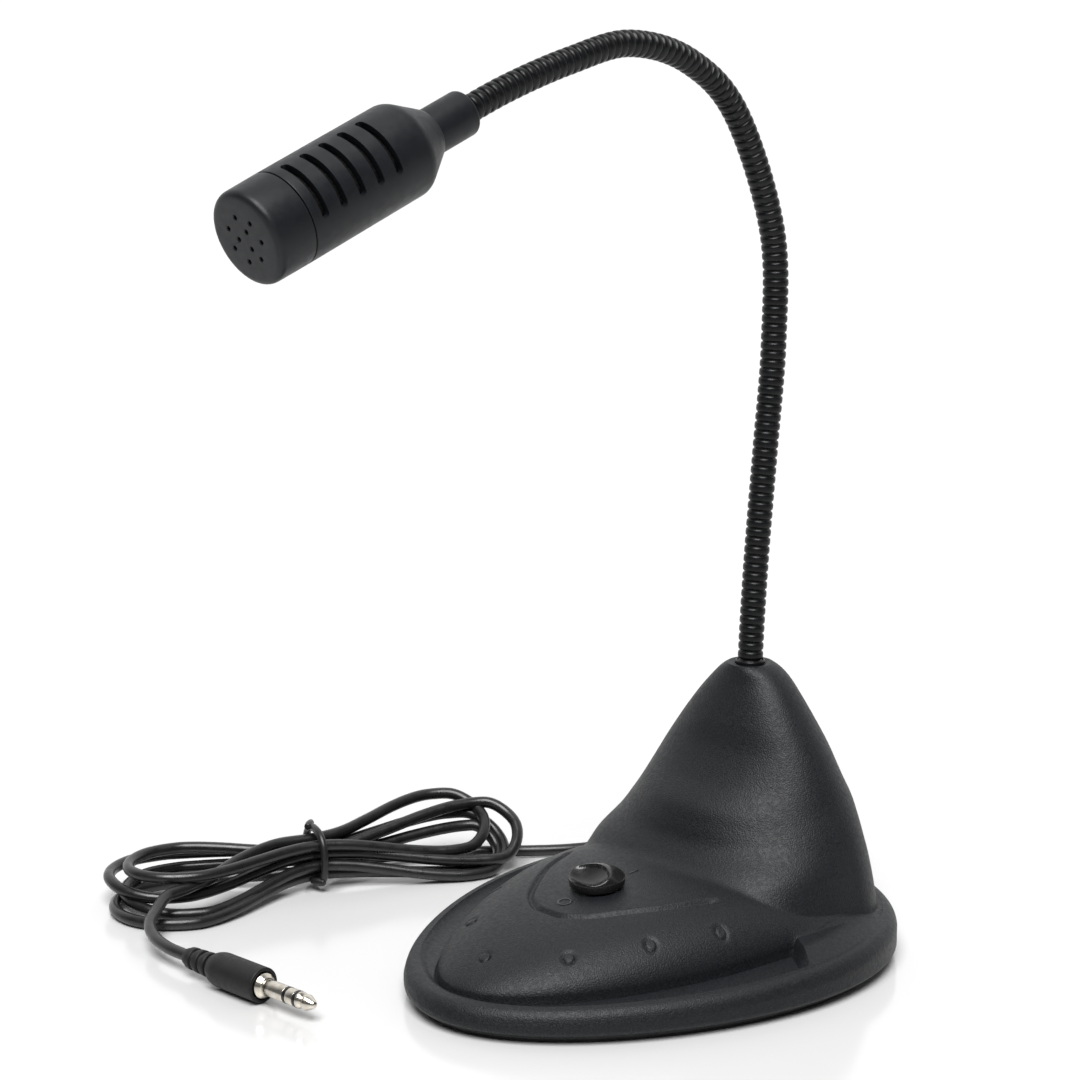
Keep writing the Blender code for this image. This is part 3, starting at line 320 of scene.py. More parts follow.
PLAIN_FINISHES = (
    # spark-eroded moulded plastic: fine pebbled grain that breaks up the highlights
    ("charcoal_abs", 0.5, 0.3, 0.0, ((0.3, 1.0), grey(0.004, 0.4), grey(0.011, 0.4), 0.38, 0.66),
     ((0.9,), 0.42, 0.56), (((14.0,), 0.03), ((0.3, 1.0), 0.11))),
    # head: smoother and a little bluish, with faint flow marks
    ("satin_abs", 0.42, 0.3, 0.0, ((5.0,), grey(0.0055, 0.5), grey(0.0075, 0.5)),
     ((1.6,), 0.38, 0.48), (((9.0,), 0.02), ((0.22, 1.0), 0.012))),
    # switch button: polished by use, with a few soft rub marks
    ("gloss_abs", 0.25, 0.5, 0.0, ((2.5,), grey(0.006), grey(0.009)),
     ((1.1, 4.0), 0.2, 0.34), (((0.6,), 0.006),)),
    ("neck_lacquer", 0.34, 0.27, 0.0, ((3.0,), grey(0.0025, 0.3), grey(0.0042, 0.3)),
     ((0.7, 3.0), 0.27, 0.42), (((0.35,), 0.01),)),
    ("soft_rubber", 0.7, 0.35, 0.0, ((1.2, 3.0), grey(0.010), grey(0.016)),
     ((0.5,), 0.6, 0.8), (((0.3,), 0.03),)),
    # moulded plug body: matte, faintly pitted
    ("plug_rubber", 0.55, 0.36, 0.0, ((1.5, 3.0), grey(0.006), grey(0.009)),
     ((0.8, 3.0), 0.46, 0.62), (((2.2,), 0.03), ((0.25,), 0.02))),
    # extruded PVC: glossy, with slow ripples and a little bloom
    ("cord_pvc", 0.28, 0.55, 0.0, ((7.0, 3.0), grey(0.0065), grey(0.0105)),
     ((2.0, 3.0), 0.24, 0.38), (((3.0,), 0.05), ((0.3,), 0.006))),
    ("tie_plastic", 0.36, 0.5, 0.0, ((2.0,), grey(0.006), grey(0.010)),
     ((0.8,), 0.3, 0.44), (((0.5,), 0.02),)),
    # turned and plated brass: fine rings from the lathe along the plug's axis
    ("nickel_plate", 0.2, 0.5, 1.0, ((1.2, 3.0), (0.62, 0.57, 0.49), (0.80, 0.76, 0.68)),
     ((0.5, 3.0), 0.14, 0.27), (((0.2, 1.0, (6.0, 0.3, 0.3)), 0.004),)),
    ("zinc_steel", 0.35, 0.5, 1.0, ((2.5, 4.0), (0.46, 0.46, 0.45), (0.68, 0.68, 0.67)),
     ((0.8, 3.0), 0.28, 0.46), (((0.4,), 0.01),)),
    ("board_laminate", 0.45, 0.5, 0.0, ((1.3, 3.0), (0.02, 0.10, 0.035), (0.05, 0.20, 0.08), 0.45, 0.55),
     ((0.8,), 0.35, 0.55), (((1.3, 3.0), 0.03),)),
    # pale polished floor with a soft reflection
    ("studio_floor", 0.2, 0.5, 0.0, ((300.0,), grey(0.60), grey(0.61)), ((300.0,), 0.14, 0.16), ()))

SHADES = {row[0]: plain_finish(*row) for row in PLAIN_FINISHES}
SHADES["dark_foam"] = dark_foam()

# finish of each slot in the record
SLOT_SHADES = {
    "base_plastic": "charcoal_abs", "head_plastic": "satin_abs", "switch_plastic": "gloss_abs",
    "neck_coating": "neck_lacquer", "black_rubber": "soft_rubber", "plug_rubber": "plug_rubber",
    "cord_pvc": "cord_pvc", "wire_pvc": "cord_pvc", "tie_plastic": "tie_plastic",
    "zinc_steel": "zinc_steel", "jack_nickel": "nickel_plate", "insulator_plastic": "gloss_abs",
    "circuit_board": "board_laminate"}


# --- mesh helpers ---

def add_piece(name, mesh, slot, body=None, shade=None):
    """Put a mesh in the scene with the finish of its slot, riding on a body if one is given."""
    item = link(bpy.data.objects.new(name, mesh))
    mesh.materials.clear()
    mesh.materials.append(SHADES[shade or SLOT_SHADES[slot]])
    if body:
        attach(item, body)
    return item


def link(item):
    bpy.context.scene.collection.objects.link(item)
    return item


def circle(count):
    """Evenly spaced angles all round."""
    return [2.0 * math.pi * k / count for k in range(count)]


def ring(radius, z, angles):
    return [(radius * math.cos(a), radius * math.sin(a), z) for a in angles]


def placed(origin, turn):
    return Matrix.Translation(origin) @ Euler(turn).to_matrix().to_4x4()


def smooth_mesh(mesh, angle=38.0):
    mesh.shade_smooth()
    mesh.set_sharp_from_angle(angle=math.radians(angle))
    return mesh


def skin(name, rings, wrap=False, tips=(None, None), matrix=None):
    """Mesh through rings of points. wrap joins the last ring to the first; otherwise each end is
    closed by a flat face, or by a fan to its tip."""
    turn = matrix or Matrix.Identity(4)
    bm = bmesh.new()
    loops = [[bm.verts.new(turn @ Vector(point) * MM) for point in ring] for ring in rings]
    count = len(loops[0])
    pairs = list(zip(loops, loops[1:])) + ([(loops[-1], loops[0])] if wrap else [])
    for lower, upper in pairs:
        for i in range(count):
            j = (i + 1) % count
            bm.faces.new((lower[i], lower[j], upper[j], upper[i]))
    if not wrap:
        for loop, tip in ((loops[0], tips[0]), (loops[-1], tips[1])):
            if tip is None:
                bm.faces.new(loop)
                continue
            point = bm.verts.new(turn @ Vector(tip) * MM)
            for i in range(count):
                bm.faces.new((loop[i], loop[(i + 1) % count], point))
    bmesh.ops.recalc_face_normals(bm, faces=bm.faces)
    mesh = bpy.data.meshes.new(name)
    bm.to_mesh(mesh)
    bm.free()
    return smooth_mesh(mesh)


def rounded(points, closed=False, steps=5):
    """Profile with rounded corners, from (radius, height, corner size) points."""
    count = len(points)
    profile = []
    for i, (radius, height, size) in enumerate(points):
        corner = Vector((radius, height))
        if size == 0.0 or (not closed and i in (0, count - 1)):
            profile.append(corner)
            continue
        before = Vector(points[i - 1][:2]) - corner
        after = Vector(points[(i + 1) % count][:2]) - corner
        reach = min(size, 0.49 * before.length, 0.49 * after.length)
        start = corner + reach * before.normalized()
        end = corner + reach * after.normalized()
        for k in range(steps + 1):
            t = k / steps
            profile.append((1 - t) ** 2 * start + 2 * t * (1 - t) * corner + t * t * end)
    return profile


def turned(name, profile, matrix, sides=64, closed=False):
    """Profile of (radius, height) turned about local Z. Ends on the axis become tips."""
    points = [(point[0], point[1]) for point in profile]
    tips = [None, None]
    if not closed and points[0][0] == 0.0:
        tips[0] = (0.0, 0.0, points.pop(0)[1])
    if not closed and points[-1][0] == 0.0:
        tips[1] = (0.0, 0.0, points.pop()[1])
    rings = [ring(radius, height, circle(sides)) for radius, height in points]
    return skin(name, rings, closed, tips, matrix)


def prism(name, half_x, half_y, low, high, matrix):
    corners = ((-half_x, -half_y), (half_x, -half_y), (half_x, half_y), (-half_x, half_y))
    return skin(name, [[(x, y, z) for x, y in corners] for z in (low, high)], matrix=matrix)


def carve(mesh, cutters, name):
    """Cut closed meshes out of a mesh, with an exact Boolean, and return the result."""
    body = link(bpy.data.objects.new(name + "_whole", mesh))
    bm = bmesh.new()
    for cutter in cutters:
        bm.from_mesh(cutter)
    joined = bpy.data.meshes.new(name + "_cutters")
    bm.to_mesh(joined)
    bm.free()
    tool = link(bpy.data.objects.new(name + "_cutters", joined))
    change = body.modifiers.new("cut", "BOOLEAN")
    change.object = tool
    change.operation = "DIFFERENCE"
    change.solver = "EXACT"
    bpy.context.view_layer.update()
    evaluated = body.evaluated_get(bpy.context.evaluated_depsgraph_get())
    result = bpy.data.meshes.new_from_object(evaluated)
    for item in (body, tool):
        bpy.data.objects.remove(item, do_unlink=True)
    result.name = name
    return smooth_mesh(result)


def spline(points, per_span):
    """Catmull-Rom curve through 3-D points."""
    knots = [Vector(point) for point in points]
    ends = [2 * knots[0] - knots[1]] + knots + [2 * knots[-1] - knots[-2]]
    curve = []
    for i in range(1, len(ends) - 2):
        p0, p1, p2, p3 = ends[i - 1:i + 3]
        for k in range(per_span):
            t = k / per_span
            curve.append(0.5 * (2 * p1 + (p2 - p0) * t + (2 * p0 - 5 * p1 + 4 * p2 - p3) * t * t
                                + (3 * p1 - p0 - 3 * p2 + p3) * t**3))
    return curve + [knots[-1]]


class Path:
    """A curve that can be read at any distance along it."""

    def __init__(self, points, per_span=24):
        self.points = spline(points, per_span)
        self.reach = [0.0]
        for start, end in zip(self.points, self.points[1:]):
            self.reach.append(self.reach[-1] + (end - start).length)
        self.length = self.reach[-1]

    def at(self, distance):
        distance = min(max(distance, 0.0), self.length)
        i = next(k for k in range(1, len(self.reach)) if distance <= self.reach[k] + 1e-9)
        part = (distance - self.reach[i - 1]) / (self.reach[i] - self.reach[i - 1])
        return self.points[i - 1].lerp(self.points[i], min(1.0, part))

    def direction(self, distance):
        ahead = min(distance + 0.5, self.length)
        return (self.at(ahead) - self.at(max(ahead - 1.0, 0.0))).normalized()


def smoothstep(value):
    value = min(1.0, max(0.0, value))
    return value * value * (3.0 - 2.0 * value)


def bisect(function, low, high, rounds=30):
    """Where a function that falls from positive to negative crosses zero."""
    for _ in range(rounds):
        middle = 0.5 * (low + high)
        if function(middle) > 0.0:
            low = middle
        else:
            high = middle
    return 0.5 * (low + high)


# --- camera, light and floor ---

def camera():
    data = bpy.data.cameras.new("camera")
    data.lens = CAMERA_LENS
    item = link(bpy.data.objects.new("camera", data))
    item.location = CAMERA_AT
    item.rotation_euler = (0.5 * math.pi - CAMERA_PITCH, 0.0, CAMERA_BEARING)
    bpy.context.scene.camera = item


def studio():
    scene = bpy.context.scene
    scene.view_settings.view_transform = "Standard"
    world = bpy.data.worlds.new("studio")
    world.use_nodes = True
    nodes, links = world.node_tree.nodes, world.node_tree.links
    # a dim room with a white backdrop beyond the object
    way = nodes.new("ShaderNodeTexCoord").outputs["Generated"]
    towards = nodes.new("ShaderNodeVectorMath")
    towards.operation = "DOT_PRODUCT"
    towards.inputs[1].default_value = BACKDROP_TOWARDS
    links.new(way, towards.inputs[0])
    room = map_range(nodes, 0.0, 0.75, ROOM_LIGHT, BACKDROP_LIGHT)
    room.interpolation_type = "SMOOTHSTEP"
    links.new(towards.outputs["Value"], room.inputs["Value"])
    nodes["Background"].inputs["Color"].default_value = (1.0, 1.0, 1.0, 1.0)
    links.new(room.outputs["Result"], nodes["Background"].inputs["Strength"])
    scene.world = world
    data = bpy.data.lights.new("softbox", "SUN")
    data.energy = SOFTBOX_LIGHT
    data.angle = SOFTBOX_SPREAD
    lamp = link(bpy.data.objects.new("softbox", data))
    lamp.rotation_euler = Vector(SOFTBOX_TOWARDS).to_track_quat("Z", "Y").to_euler()
    bpy.ops.mesh.primitive_plane_add(size=24.0, location=(0.0, 0.0, -0.0001))
    floor = bpy.context.active_object
    floor.name = "floor"
    floor.data.materials.append(SHADES["studio_floor"])


# --- lead, hank and plug ---

def in_hank(distance, across, z):
    """Place in the hank's own frame: along it from the tie, and across it towards the base."""
    forward = Vector((math.cos(HANK_BEARING), math.sin(HANK_BEARING), 0.0))
    side = Vector((forward.y, -forward.x, 0.0))
    return Vector((*HANK_TIE, z)) + distance * forward + across * side


def half_loop(side, first, last, loop):
    """Out from one pass through the tie, round a loop's end and back to the next pass."""
    reach, near, tip, far = loop
    out, back = (near, far) if side > 0 else (far, near)
    radius = 0.5 * abs(out[0] - back[0])
    middle = 0.5 * (out[0] + back[0])
    depth = min(1.15 * radius, LOOP_DEPTH)
    straight = reach - depth

    def strand(start, end, parts):
        """Straight run of the loop, from the tie at part 0 to the round end at part 1."""
        pairs = [(part, smoothstep(part)) for part in parts]
        return [(straight * part, start[0] + (end[0] - start[0]) * t, start[1] + (end[1] - start[1]) * t)
                for part, t in pairs]

    points = strand(first, out, (0.0, 0.22, 0.44, 0.66, 0.85))
    for k in range(7):
        angle = math.pi * k / 6
        level = out[1] if math.cos(angle) > 0.0 else back[1]
        z = tip + (level - tip) * smoothstep(abs(math.cos(angle)))
        points.append((straight + depth * math.sin(angle), middle + (out[0] - middle) * math.cos(angle), z))
    points += strand(last, back, (0.85, 0.66, 0.44, 0.22))
    return [in_hank(side * along, across, z) for along, across, z in points]


def cord_route():
    points = list(LEAD_ROUTE)
    for k in range(len(NEAR_PASSES)):
        points += half_loop(-1, FAR_PASSES[k], NEAR_PASSES[k], LEFT_LOOPS[k])
        points += half_loop(1, NEAR_PASSES[k], FAR_PASSES[k + 1], RIGHT_LOOPS[k])
    points += [in_hank(*place) for place in LAST_PASS]
    points += list(TAIL_ROUTE)
    return spline(points, 8)


def plug_turned(name, profile, slot, node, sides=64):
    place = placed(PLUG_START, (0.0, 0.5 * math.pi, PLUG_DIRECTION))
    piece = add_piece(name, turned(name, profile, place, sides), slot, "base")
    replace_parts(piece, node)
    return piece


def plug():
    """Ribbed relief, moulded body and a three-pole jack with its two insulating rings."""
    ribs = [(0.0, 0.0, 0.0), (1.75, 0.0, 0.3), (2.0, 1.0, 0.0)]
    for k in range(3):
        foot = 1.2 + 2.4 * k
        crest = 2.3 + 0.12 * k
        ribs += [(1.85, foot, 0.2), (crest, foot + 0.1, 0.25), (crest + 0.1, foot + 1.6, 0.35),
                 (1.9, foot + 1.7, 0.2)]
    ribs += [(2.0, RELIEF_LENGTH - 0.9, 0.2), (2.6, RELIEF_LENGTH - 0.3, 0.2), (2.6, RELIEF_LENGTH, 0.0),
             (0.0, RELIEF_LENGTH, 0.0)]
    pieces = [plug_turned("plug_strain_relief", rounded(ribs), "plug_rubber", "plug_relief", 48)]
    start = RELIEF_LENGTH + 0.02
    end = RELIEF_LENGTH + GAP + PLUG_BODY_LENGTH
    radius = PLUG_BODY_RADIUS
    body = [(0.0, start, 0.0), (2.7, start, 0.3), (3.2, start + 0.7, 0.5), (radius, start + 2.3, 1.0),
            (radius, end, 0.75), (2.95, end, 0.25), (2.75, end - 0.9, 0.0), (0.0, end - 0.9, 0.0)]
    pieces.append(plug_turned("plug_shell", rounded(body), "plug_rubber", "plug_body"))
    flange_end = end + GAP + FLANGE_LENGTH
    flange = [(0.0, end - 0.85, 0.0), (2.7, end - 0.85, 0.1), (2.7, end + 0.25, 0.2),
              (2.1, flange_end - 0.2, 0.3), (1.9, flange_end + 0.05, 0.15), (0.0, flange_end + 0.05, 0.0)]
    pieces.append(plug_turned("jack_dish", rounded(flange), "jack_nickel", "jack_flange"))
    jack = flange_end + GAP
    barrel = JACK_RADIUS
    rings = (("jack_sleeve_contact", "jack_sleeve", -0.25, 5.66, barrel, "jack_nickel"),
             ("jack_insulating_ring_1", "jack_insulator_1", 5.68, 6.52, barrel + 0.03, "insulator_plastic"),
             ("jack_ring_contact", "jack_ring", 6.54, 8.66, barrel, "jack_nickel"),
             ("jack_insulating_ring_2", "jack_insulator_2", 8.68, 9.52, barrel + 0.03, "insulator_plastic"))
    for name, node, low, high, reach, slot in rings:
        profile = [(0.0, jack + low, 0.0), (reach, jack + low, 0.08), (reach, jack + high, 0.08),
                   (0.0, jack + high, 0.0)]
        pieces.append(plug_turned(name, rounded(profile, steps=3), slot, node))
    tip = jack + JACK_LENGTH
    nose = [(0.0, jack + 9.54, 0.0), (barrel, jack + 9.54, 0.08), (barrel, tip - 4.0, 0.3),
            (1.12, tip - 3.35, 0.35), (1.2, tip - 3.05, 0.2), (barrel, tip - 2.5, 0.4),
            (1.35, tip - 1.5, 0.8), (0.62, tip - 0.12, 0.35), (0.0, tip, 0.0)]
    pieces.append(plug_turned("jack_tip_contact", rounded(nose), "jack_nickel", "jack_tip"))
    return pieces


def tie():
    """Round tie drawn about the bundle, its two ends twisted together as a nub."""
    distance, far, near, bottom, top = TIE_SECTION
    middle = in_hank(distance, 0.5 * (near + far), 0.5 * (top + bottom))
    along = (in_hank(1.0, 0.0, 0.0) - in_hank(0.0, 0.0, 0.0)).normalized()
    half_width = 0.5 * (near - far) + 0.35 + TIE_RADIUS
    half_height = 0.5 * (top - bottom) + 0.5 + TIE_RADIUS
    rings = []
    for angle in circle(72):
        wide = math.copysign(abs(math.cos(angle)) ** 0.8, math.cos(angle))
        tall = math.copysign(abs(math.sin(angle)) ** 0.8, math.sin(angle))
        centre = in_hank(distance + 0.5 * math.cos(angle), 0.5 * (near + far) + half_width * wide,
                         0.5 * (top + bottom) + half_height * tall)
        centre.z = max(centre.z, TIE_RADIUS + 0.05)
        outward = (centre - middle).normalized()
        rings.append([centre + TIE_RADIUS * (math.cos(t) * outward + math.sin(t) * along)
                      for t in circle(16)])
    band = add_piece("hank_tie", skin("hank_tie", rings, wrap=True), "tie_plastic", "base")
    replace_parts(band, "cord_tie")
    nubs = []
    for name, across, z, lean in (("tie_nub_top", -3.2, top + 1.5, -0.5), ("tie_nub_near", 4.4, 2.3, 0.7)):
        place = placed(in_hank(-0.6, across, z), (0.5 * math.pi, 0.0, HANK_BEARING + lean))
        profile = [(0.0, -1.9, 0.0), (0.75, -1.9, 0.4), (0.9, 0.0, 0.3), (0.75, 1.7, 0.4), (0.0, 1.7, 0.0)]
        nubs.append(add_piece(name, turned(name, rounded(profile), place, 24), "tie_plastic", "base"))
    return [band] + nubs


def grommet():
    """Moulded strain relief in the cover's back wall, with a short ribbed tail."""
    end = GROMMET_END - 0.5 * BASE_LENGTH
    profile = [(0.0, -4.2, 0.0), (2.15, -4.2, 0.2), (2.15, -2.9, 0.1), (1.7, -2.9, 0.0), (1.7, GAP, 0.0),
               (3.4, GAP, 0.2), (3.4, 1.9, 0.5), (2.75, 2.3, 0.3), (2.2, 2.5, 0.15), (2.2, 3.1, 0.15),
               (2.6, 3.2, 0.2), (2.4, end - 0.6, 0.3), (2.0, end, 0.3), (0.0, end, 0.0)]
    place = placed((0.0, 0.5 * BASE_LENGTH, CORD_EXIT_Z), (-0.5 * math.pi, 0.0, 0.0))
    piece = add_piece("cord_strain_relief", turned("cord_strain_relief", rounded(profile), place, 48),
                      "black_rubber", "base")
    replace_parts(piece, "cord_grommet")
    return piece


def cord():
    points = cord_route()
    data = bpy.data.curves.new("signal_cord", "CURVE")
    data.dimensions = "3D"
    line = data.splines.new("POLY")
    line.points.add(len(points) - 1)
    for point, place in zip(line.points, points):
        point.co = (*(place * MM), 1.0)
    line.use_smooth = True
    data.bevel_depth = CORD_RADIUS * MM
    data.bevel_resolution = 5
    data.use_fill_caps = True
    data.materials.append(SHADES["cord_pvc"])
    item = link(bpy.data.objects.new("signal_cord", data))
    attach(item, "base")
    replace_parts(item, "cord_lead", "cord_hank", "cord_tail")
    on_it = [grommet()] + tie() + plug()


# --- base cover ---

def egg_point(theta, length, width, inset=0.0):
    """Point of an egg outline. theta = -90 degrees is its front."""
    half_width = 0.5 * width - inset
    half_length = 0.5 * length - inset
    return (half_width * math.cos(theta) * (1.0 + EGG * math.sin(theta)), half_length * math.sin(theta))


def egg_level(x, y, length, width, from_y=None):
    """0 at the middle of an egg and 1 on its outline."""
    along = y / (0.5 * length)
    across = x / (0.5 * width * (1.0 + EGG * along))
    if from_y is not None:
        along = min(y, from_y) / (0.5 * length)
    return math.sqrt(along * along + across * across)


def rim_height(y):
    return RIM_FRONT + RIM_SLOPE * (y + 0.5 * BASE_LENGTH)


def behind_channel(x, y):
    """0 beside the channel and 1 behind its end wall."""
    return smoothstep((y + CHANNEL_SLANT * abs(x) - CHANNEL_END) / 1.5 + 0.5)


def plinth_height(x, y):
    """Top of the plinth: rim, channel in front and gentle rise behind."""
    mean_radius = 0.25 * (BASE_LENGTH + BASE_WIDTH)
    inward = mean_radius * (1.0 - egg_level(x, y, BASE_LENGTH, BASE_WIDTH))
    behind = behind_channel(x, y)
    channel = CHANNEL_DEPTH * smoothstep((inward - 3.2) / 2.5)
    rise = REAR_RISE * smoothstep((inward - 3.0) / 6.0)
    return rim_height(y) + behind * rise - (1.0 - behind) * channel


def deck_height(x, y):
    """Crowned deck, or nothing outside its outline."""
    level = egg_level(x, y, DECK_LENGTH, DECK_WIDTH, from_y=0.0)
    if level >= 1.0:
        return 0.0
    crown = DECK_CROWN - DECK_CROWN_FALL[y > 0.0] * y * y
    sunk = DECK_END_FALL * max(y - DECK_END, 0.0) ** 2
    return DECK_EDGE + DECK_SLOPE * y + crown * (1.0 - level**4) ** 0.6 - sunk


def top_height(x, y):
    """Deck or plinth, whichever is higher, run into each other behind the channel."""
    plinth, deck = plinth_height(x, y), deck_height(x, y)
    blend = BEHIND_BLEND * behind_channel(x, y) + 0.001
    return max(plinth, deck) + max(blend - abs(plinth - deck), 0.0) ** 2 / (4.0 * blend)


def cone_section(z):
    """Half width, front reach, back reach and squareness of the cone at a height."""
    rows = CONE_SECTIONS
    z = min(max(z, rows[0][0]), rows[-1][0])
    index = next(i for i in range(len(rows) - 1) if z <= rows[i + 1][0])
    low, high = rows[index], rows[index + 1]
    before, after = rows[max(index - 1, 0)], rows[min(index + 2, len(rows) - 1)]
    span = high[0] - low[0]
    t = (z - low[0]) / span
    values = []
    for k in (1, 2, 3, 4):
        slope_low = span * (high[k] - before[k]) / (high[0] - before[0])
        slope_high = span * (after[k] - low[k]) / (after[0] - low[0])
        values.append((2 * t**3 - 3 * t**2 + 1) * low[k] + (t**3 - 2 * t**2 + t) * slope_low
                      + (3 * t**2 - 2 * t**3) * high[k] + (t**3 - t**2) * slope_high)
    return values


def cone_reach(angle, z):
    """Distance from the neck's axis to the cone's surface, in a direction and at a height."""
    half_width, front, back, square = cone_section(z)
    if math.sin(angle) >= 0.0:
        return 1.0 / math.hypot(math.cos(angle) / half_width, math.sin(angle) / back)
    across, along = abs(math.cos(angle)) / half_width, abs(math.sin(angle)) / front
    return (across**square + along**square) ** (-1.0 / square)


KNOB_PLACE = (0.0, KNOB_Y, top_height(0.0, KNOB_Y))


class Ray:
    """One line of the cover, from the neck's axis out to the rim."""

    def __init__(self, theta):
        self.theta = theta
        crest = egg_point(theta, BASE_LENGTH, BASE_WIDTH, RIM_INSET)
        self.angle = math.atan2(crest[1] - NECK_Y, crest[0])
        self.crest = math.hypot(crest[0], crest[1] - NECK_Y)
        self.foot_z = bisect(self.above_floor, 8.0, 45.0)
        self.foot = cone_reach(self.angle, self.foot_z)
        edge = bisect(self.inside_deck, self.foot, self.crest)
        near_foot = self.foot + min(1.0, 0.4 * (self.crest - self.foot))
        outlined = self.foot + 1.0 < edge < self.crest - 1.0
        rear = smoothstep((self.plan(self.foot)[1] - OUTLINE_END) / 8.0)
        self.has_deck = outlined and rear == 0.0
        self.edge = edge + (near_foot - edge) * rear if outlined else near_foot

    def above_floor(self, z):
        x, y = self.plan(cone_reach(self.angle, z))
        return top_height(x, y) - z

    def inside_deck(self, reach):
        x, y = self.plan(reach)
        return 1.0 - egg_level(x, y, DECK_LENGTH, DECK_WIDTH, from_y=0.0)

    def plan(self, reach):
        return (reach * math.cos(self.angle), NECK_Y + reach * math.sin(self.angle))

    def around_neck(self, reach, z):
        return Vector((*self.plan(reach), z))

    def on_cone(self, part):
        z = CONE_TOP + (self.foot_z - CONE_TOP) * part
        return self.around_neck(cone_reach(self.angle, z), z)

    def at(self, reach, height):
        x, y = self.plan(reach)
        return Vector((x, y, height(x, y)))

    def under(self, reach):
        x, y = self.plan(reach)
        outer_x, outer_y = self.plan(reach + 1.5)
        return Vector((x, y, min(top_height(x, y), top_height(outer_x, outer_y)) - COVER_WALL))

    def rim(self, inset, z):
        return Vector((*egg_point(self.theta, BASE_LENGTH, BASE_WIDTH, inset), z))

    def lip_points(self):
        """The cone's top, dished towards the neck."""
        rows = ((3.25, 58.22), (3.25, 58.36), (3.4, 58.45), (3.9, 58.62), (4.5, 58.68))
        return [self.around_neck(reach, z) for reach, z in rows]

    def cone_points(self):
        return [self.on_cone(k / CONE_STEPS) for k in range(CONE_STEPS + 1)]

    def deck_points(self):
        """From the cone's foot to the deck's edge, closer together where the edge turns down."""
        parts = [1.0 - (1.0 - k / DECK_STEPS) ** 1.4 for k in range(1, DECK_STEPS)]
        points = [self.at(self.foot + (self.edge - self.foot) * part, top_height) for part in parts]
        return points + [self.at(self.edge - EDGE_STEP, top_height)]

    def channel_points(self):
        """From the deck's edge, with a fine seam at its foot, to the rim's crest."""
        lip = self.edge + EDGE_LIP
        step = self.at(self.edge - EDGE_STEP, top_height).z - self.at(lip, top_height).z
        seam = Vector((0.0, 0.0, 0.35 * smoothstep(step / 0.8)))
        points = [self.at(self.edge, plinth_height if self.has_deck else top_height)]
        points[0].z += 0.5 * max(step, 0.0)
        for reach, depth in ((0.0, 1.0), (0.15, 0.9), (0.3, 0.55), (0.45, 0.2), (0.6, 0.03)):
            points.append(self.at(lip + reach, top_height) - depth * seam)
        start = lip + 0.8
        parts = [k / CHANNEL_STEPS for k in range(CHANNEL_STEPS)]
        return points + [self.at(start + (self.crest - start) * part, top_height) for part in parts]

    def rim_points(self):
        crest = rim_height(self.rim(RIM_INSET, 0.0)[1])
        knots = [(RIM_INSET, crest), (1.8, crest - 0.35), (0.6, crest - 1.5), (0.0, crest - 3.2), (0.0, 3.6),
                 (0.1, 2.6), (0.7, COVER_BOTTOM)]
        curve = spline([(inset, z, 0.0) for inset, z in knots], 5)
        return [self.rim(max(point.x, 0.0), point.y) for point in curve]

    def inner_points(self):
        """Inside of the cover, from the rim's foot up into the neck's bore."""
        crest = rim_height(self.rim(RIM_INSET, 0.0)[1])
        ceiling = CONE_TOP - BORE_DEPTH
        inner_foot = cone_reach(self.angle, self.foot_z) - 2.8
        inner_rim = self.crest - 1.0
        points = [self.rim(COVER_WALL + 0.4, COVER_BOTTOM), self.rim(COVER_WALL + 0.4, crest - 2.6)]
        deep = self.edge - 3.0
        reaches = (0.5 * (self.edge + inner_rim), self.edge - 0.5, deep,
                   inner_foot + 0.4 * (deep - inner_foot))
        points += [self.under(reach) for reach in reaches]
        points.append(self.around_neck(inner_foot, self.foot_z - COVER_WALL - 0.4))
        for part in (0.6, 0.3, 0.0):
            z = ceiling + (self.foot_z - COVER_WALL - ceiling) * part
            points.append(self.around_neck(cone_reach(self.angle, z) - 2.4, z))
        bore = NECK_BORE - 0.05
        return points + [self.around_neck(bore, ceiling), self.around_neck(bore, CONE_TOP - 0.38)]

    def points(self):
        """The whole line, with the cone's foot filleted."""
        lip, cone = self.lip_points(), self.cone_points()
        column = lip + cone + self.deck_points() + self.channel_points()
        foot = len(lip) + len(cone) - 1
        for _ in range(5):
            for k in range(foot - 5, foot + 6):
                column[k] = 0.25 * column[k - 1] + 0.5 * column[k] + 0.25 * column[k + 1]
        return column + self.rim_points() + self.inner_points()


def panel_outline():
    right = spline([(x, y, 0.0) for x, y in PANEL_SIDE], 14)
    left = [Vector((-point.x, point.y, 0.0)) for point in reversed(right[1:])]
    return left + right


def stud_relief(distance):
    """A dimple with a dome in its middle."""
    dimple = -DIMPLE_DEPTH * (1.0 - smoothstep(distance / DIMPLE_RADIUS))
    if distance >= STUD_RADIUS:
        return dimple
    return dimple + STUD_HEIGHT * math.sqrt(1.0 - (distance / STUD_RADIUS) ** 2)


def segment_distance(point, start, end):
    span = end - start
    part = min(1.0, max(0.0, (point - start).dot(span) / span.length_squared))
    return (point - start - part * span).length


def within(x, y, reach):
    side, front, back = reach
    return abs(x) < side and front < y < back


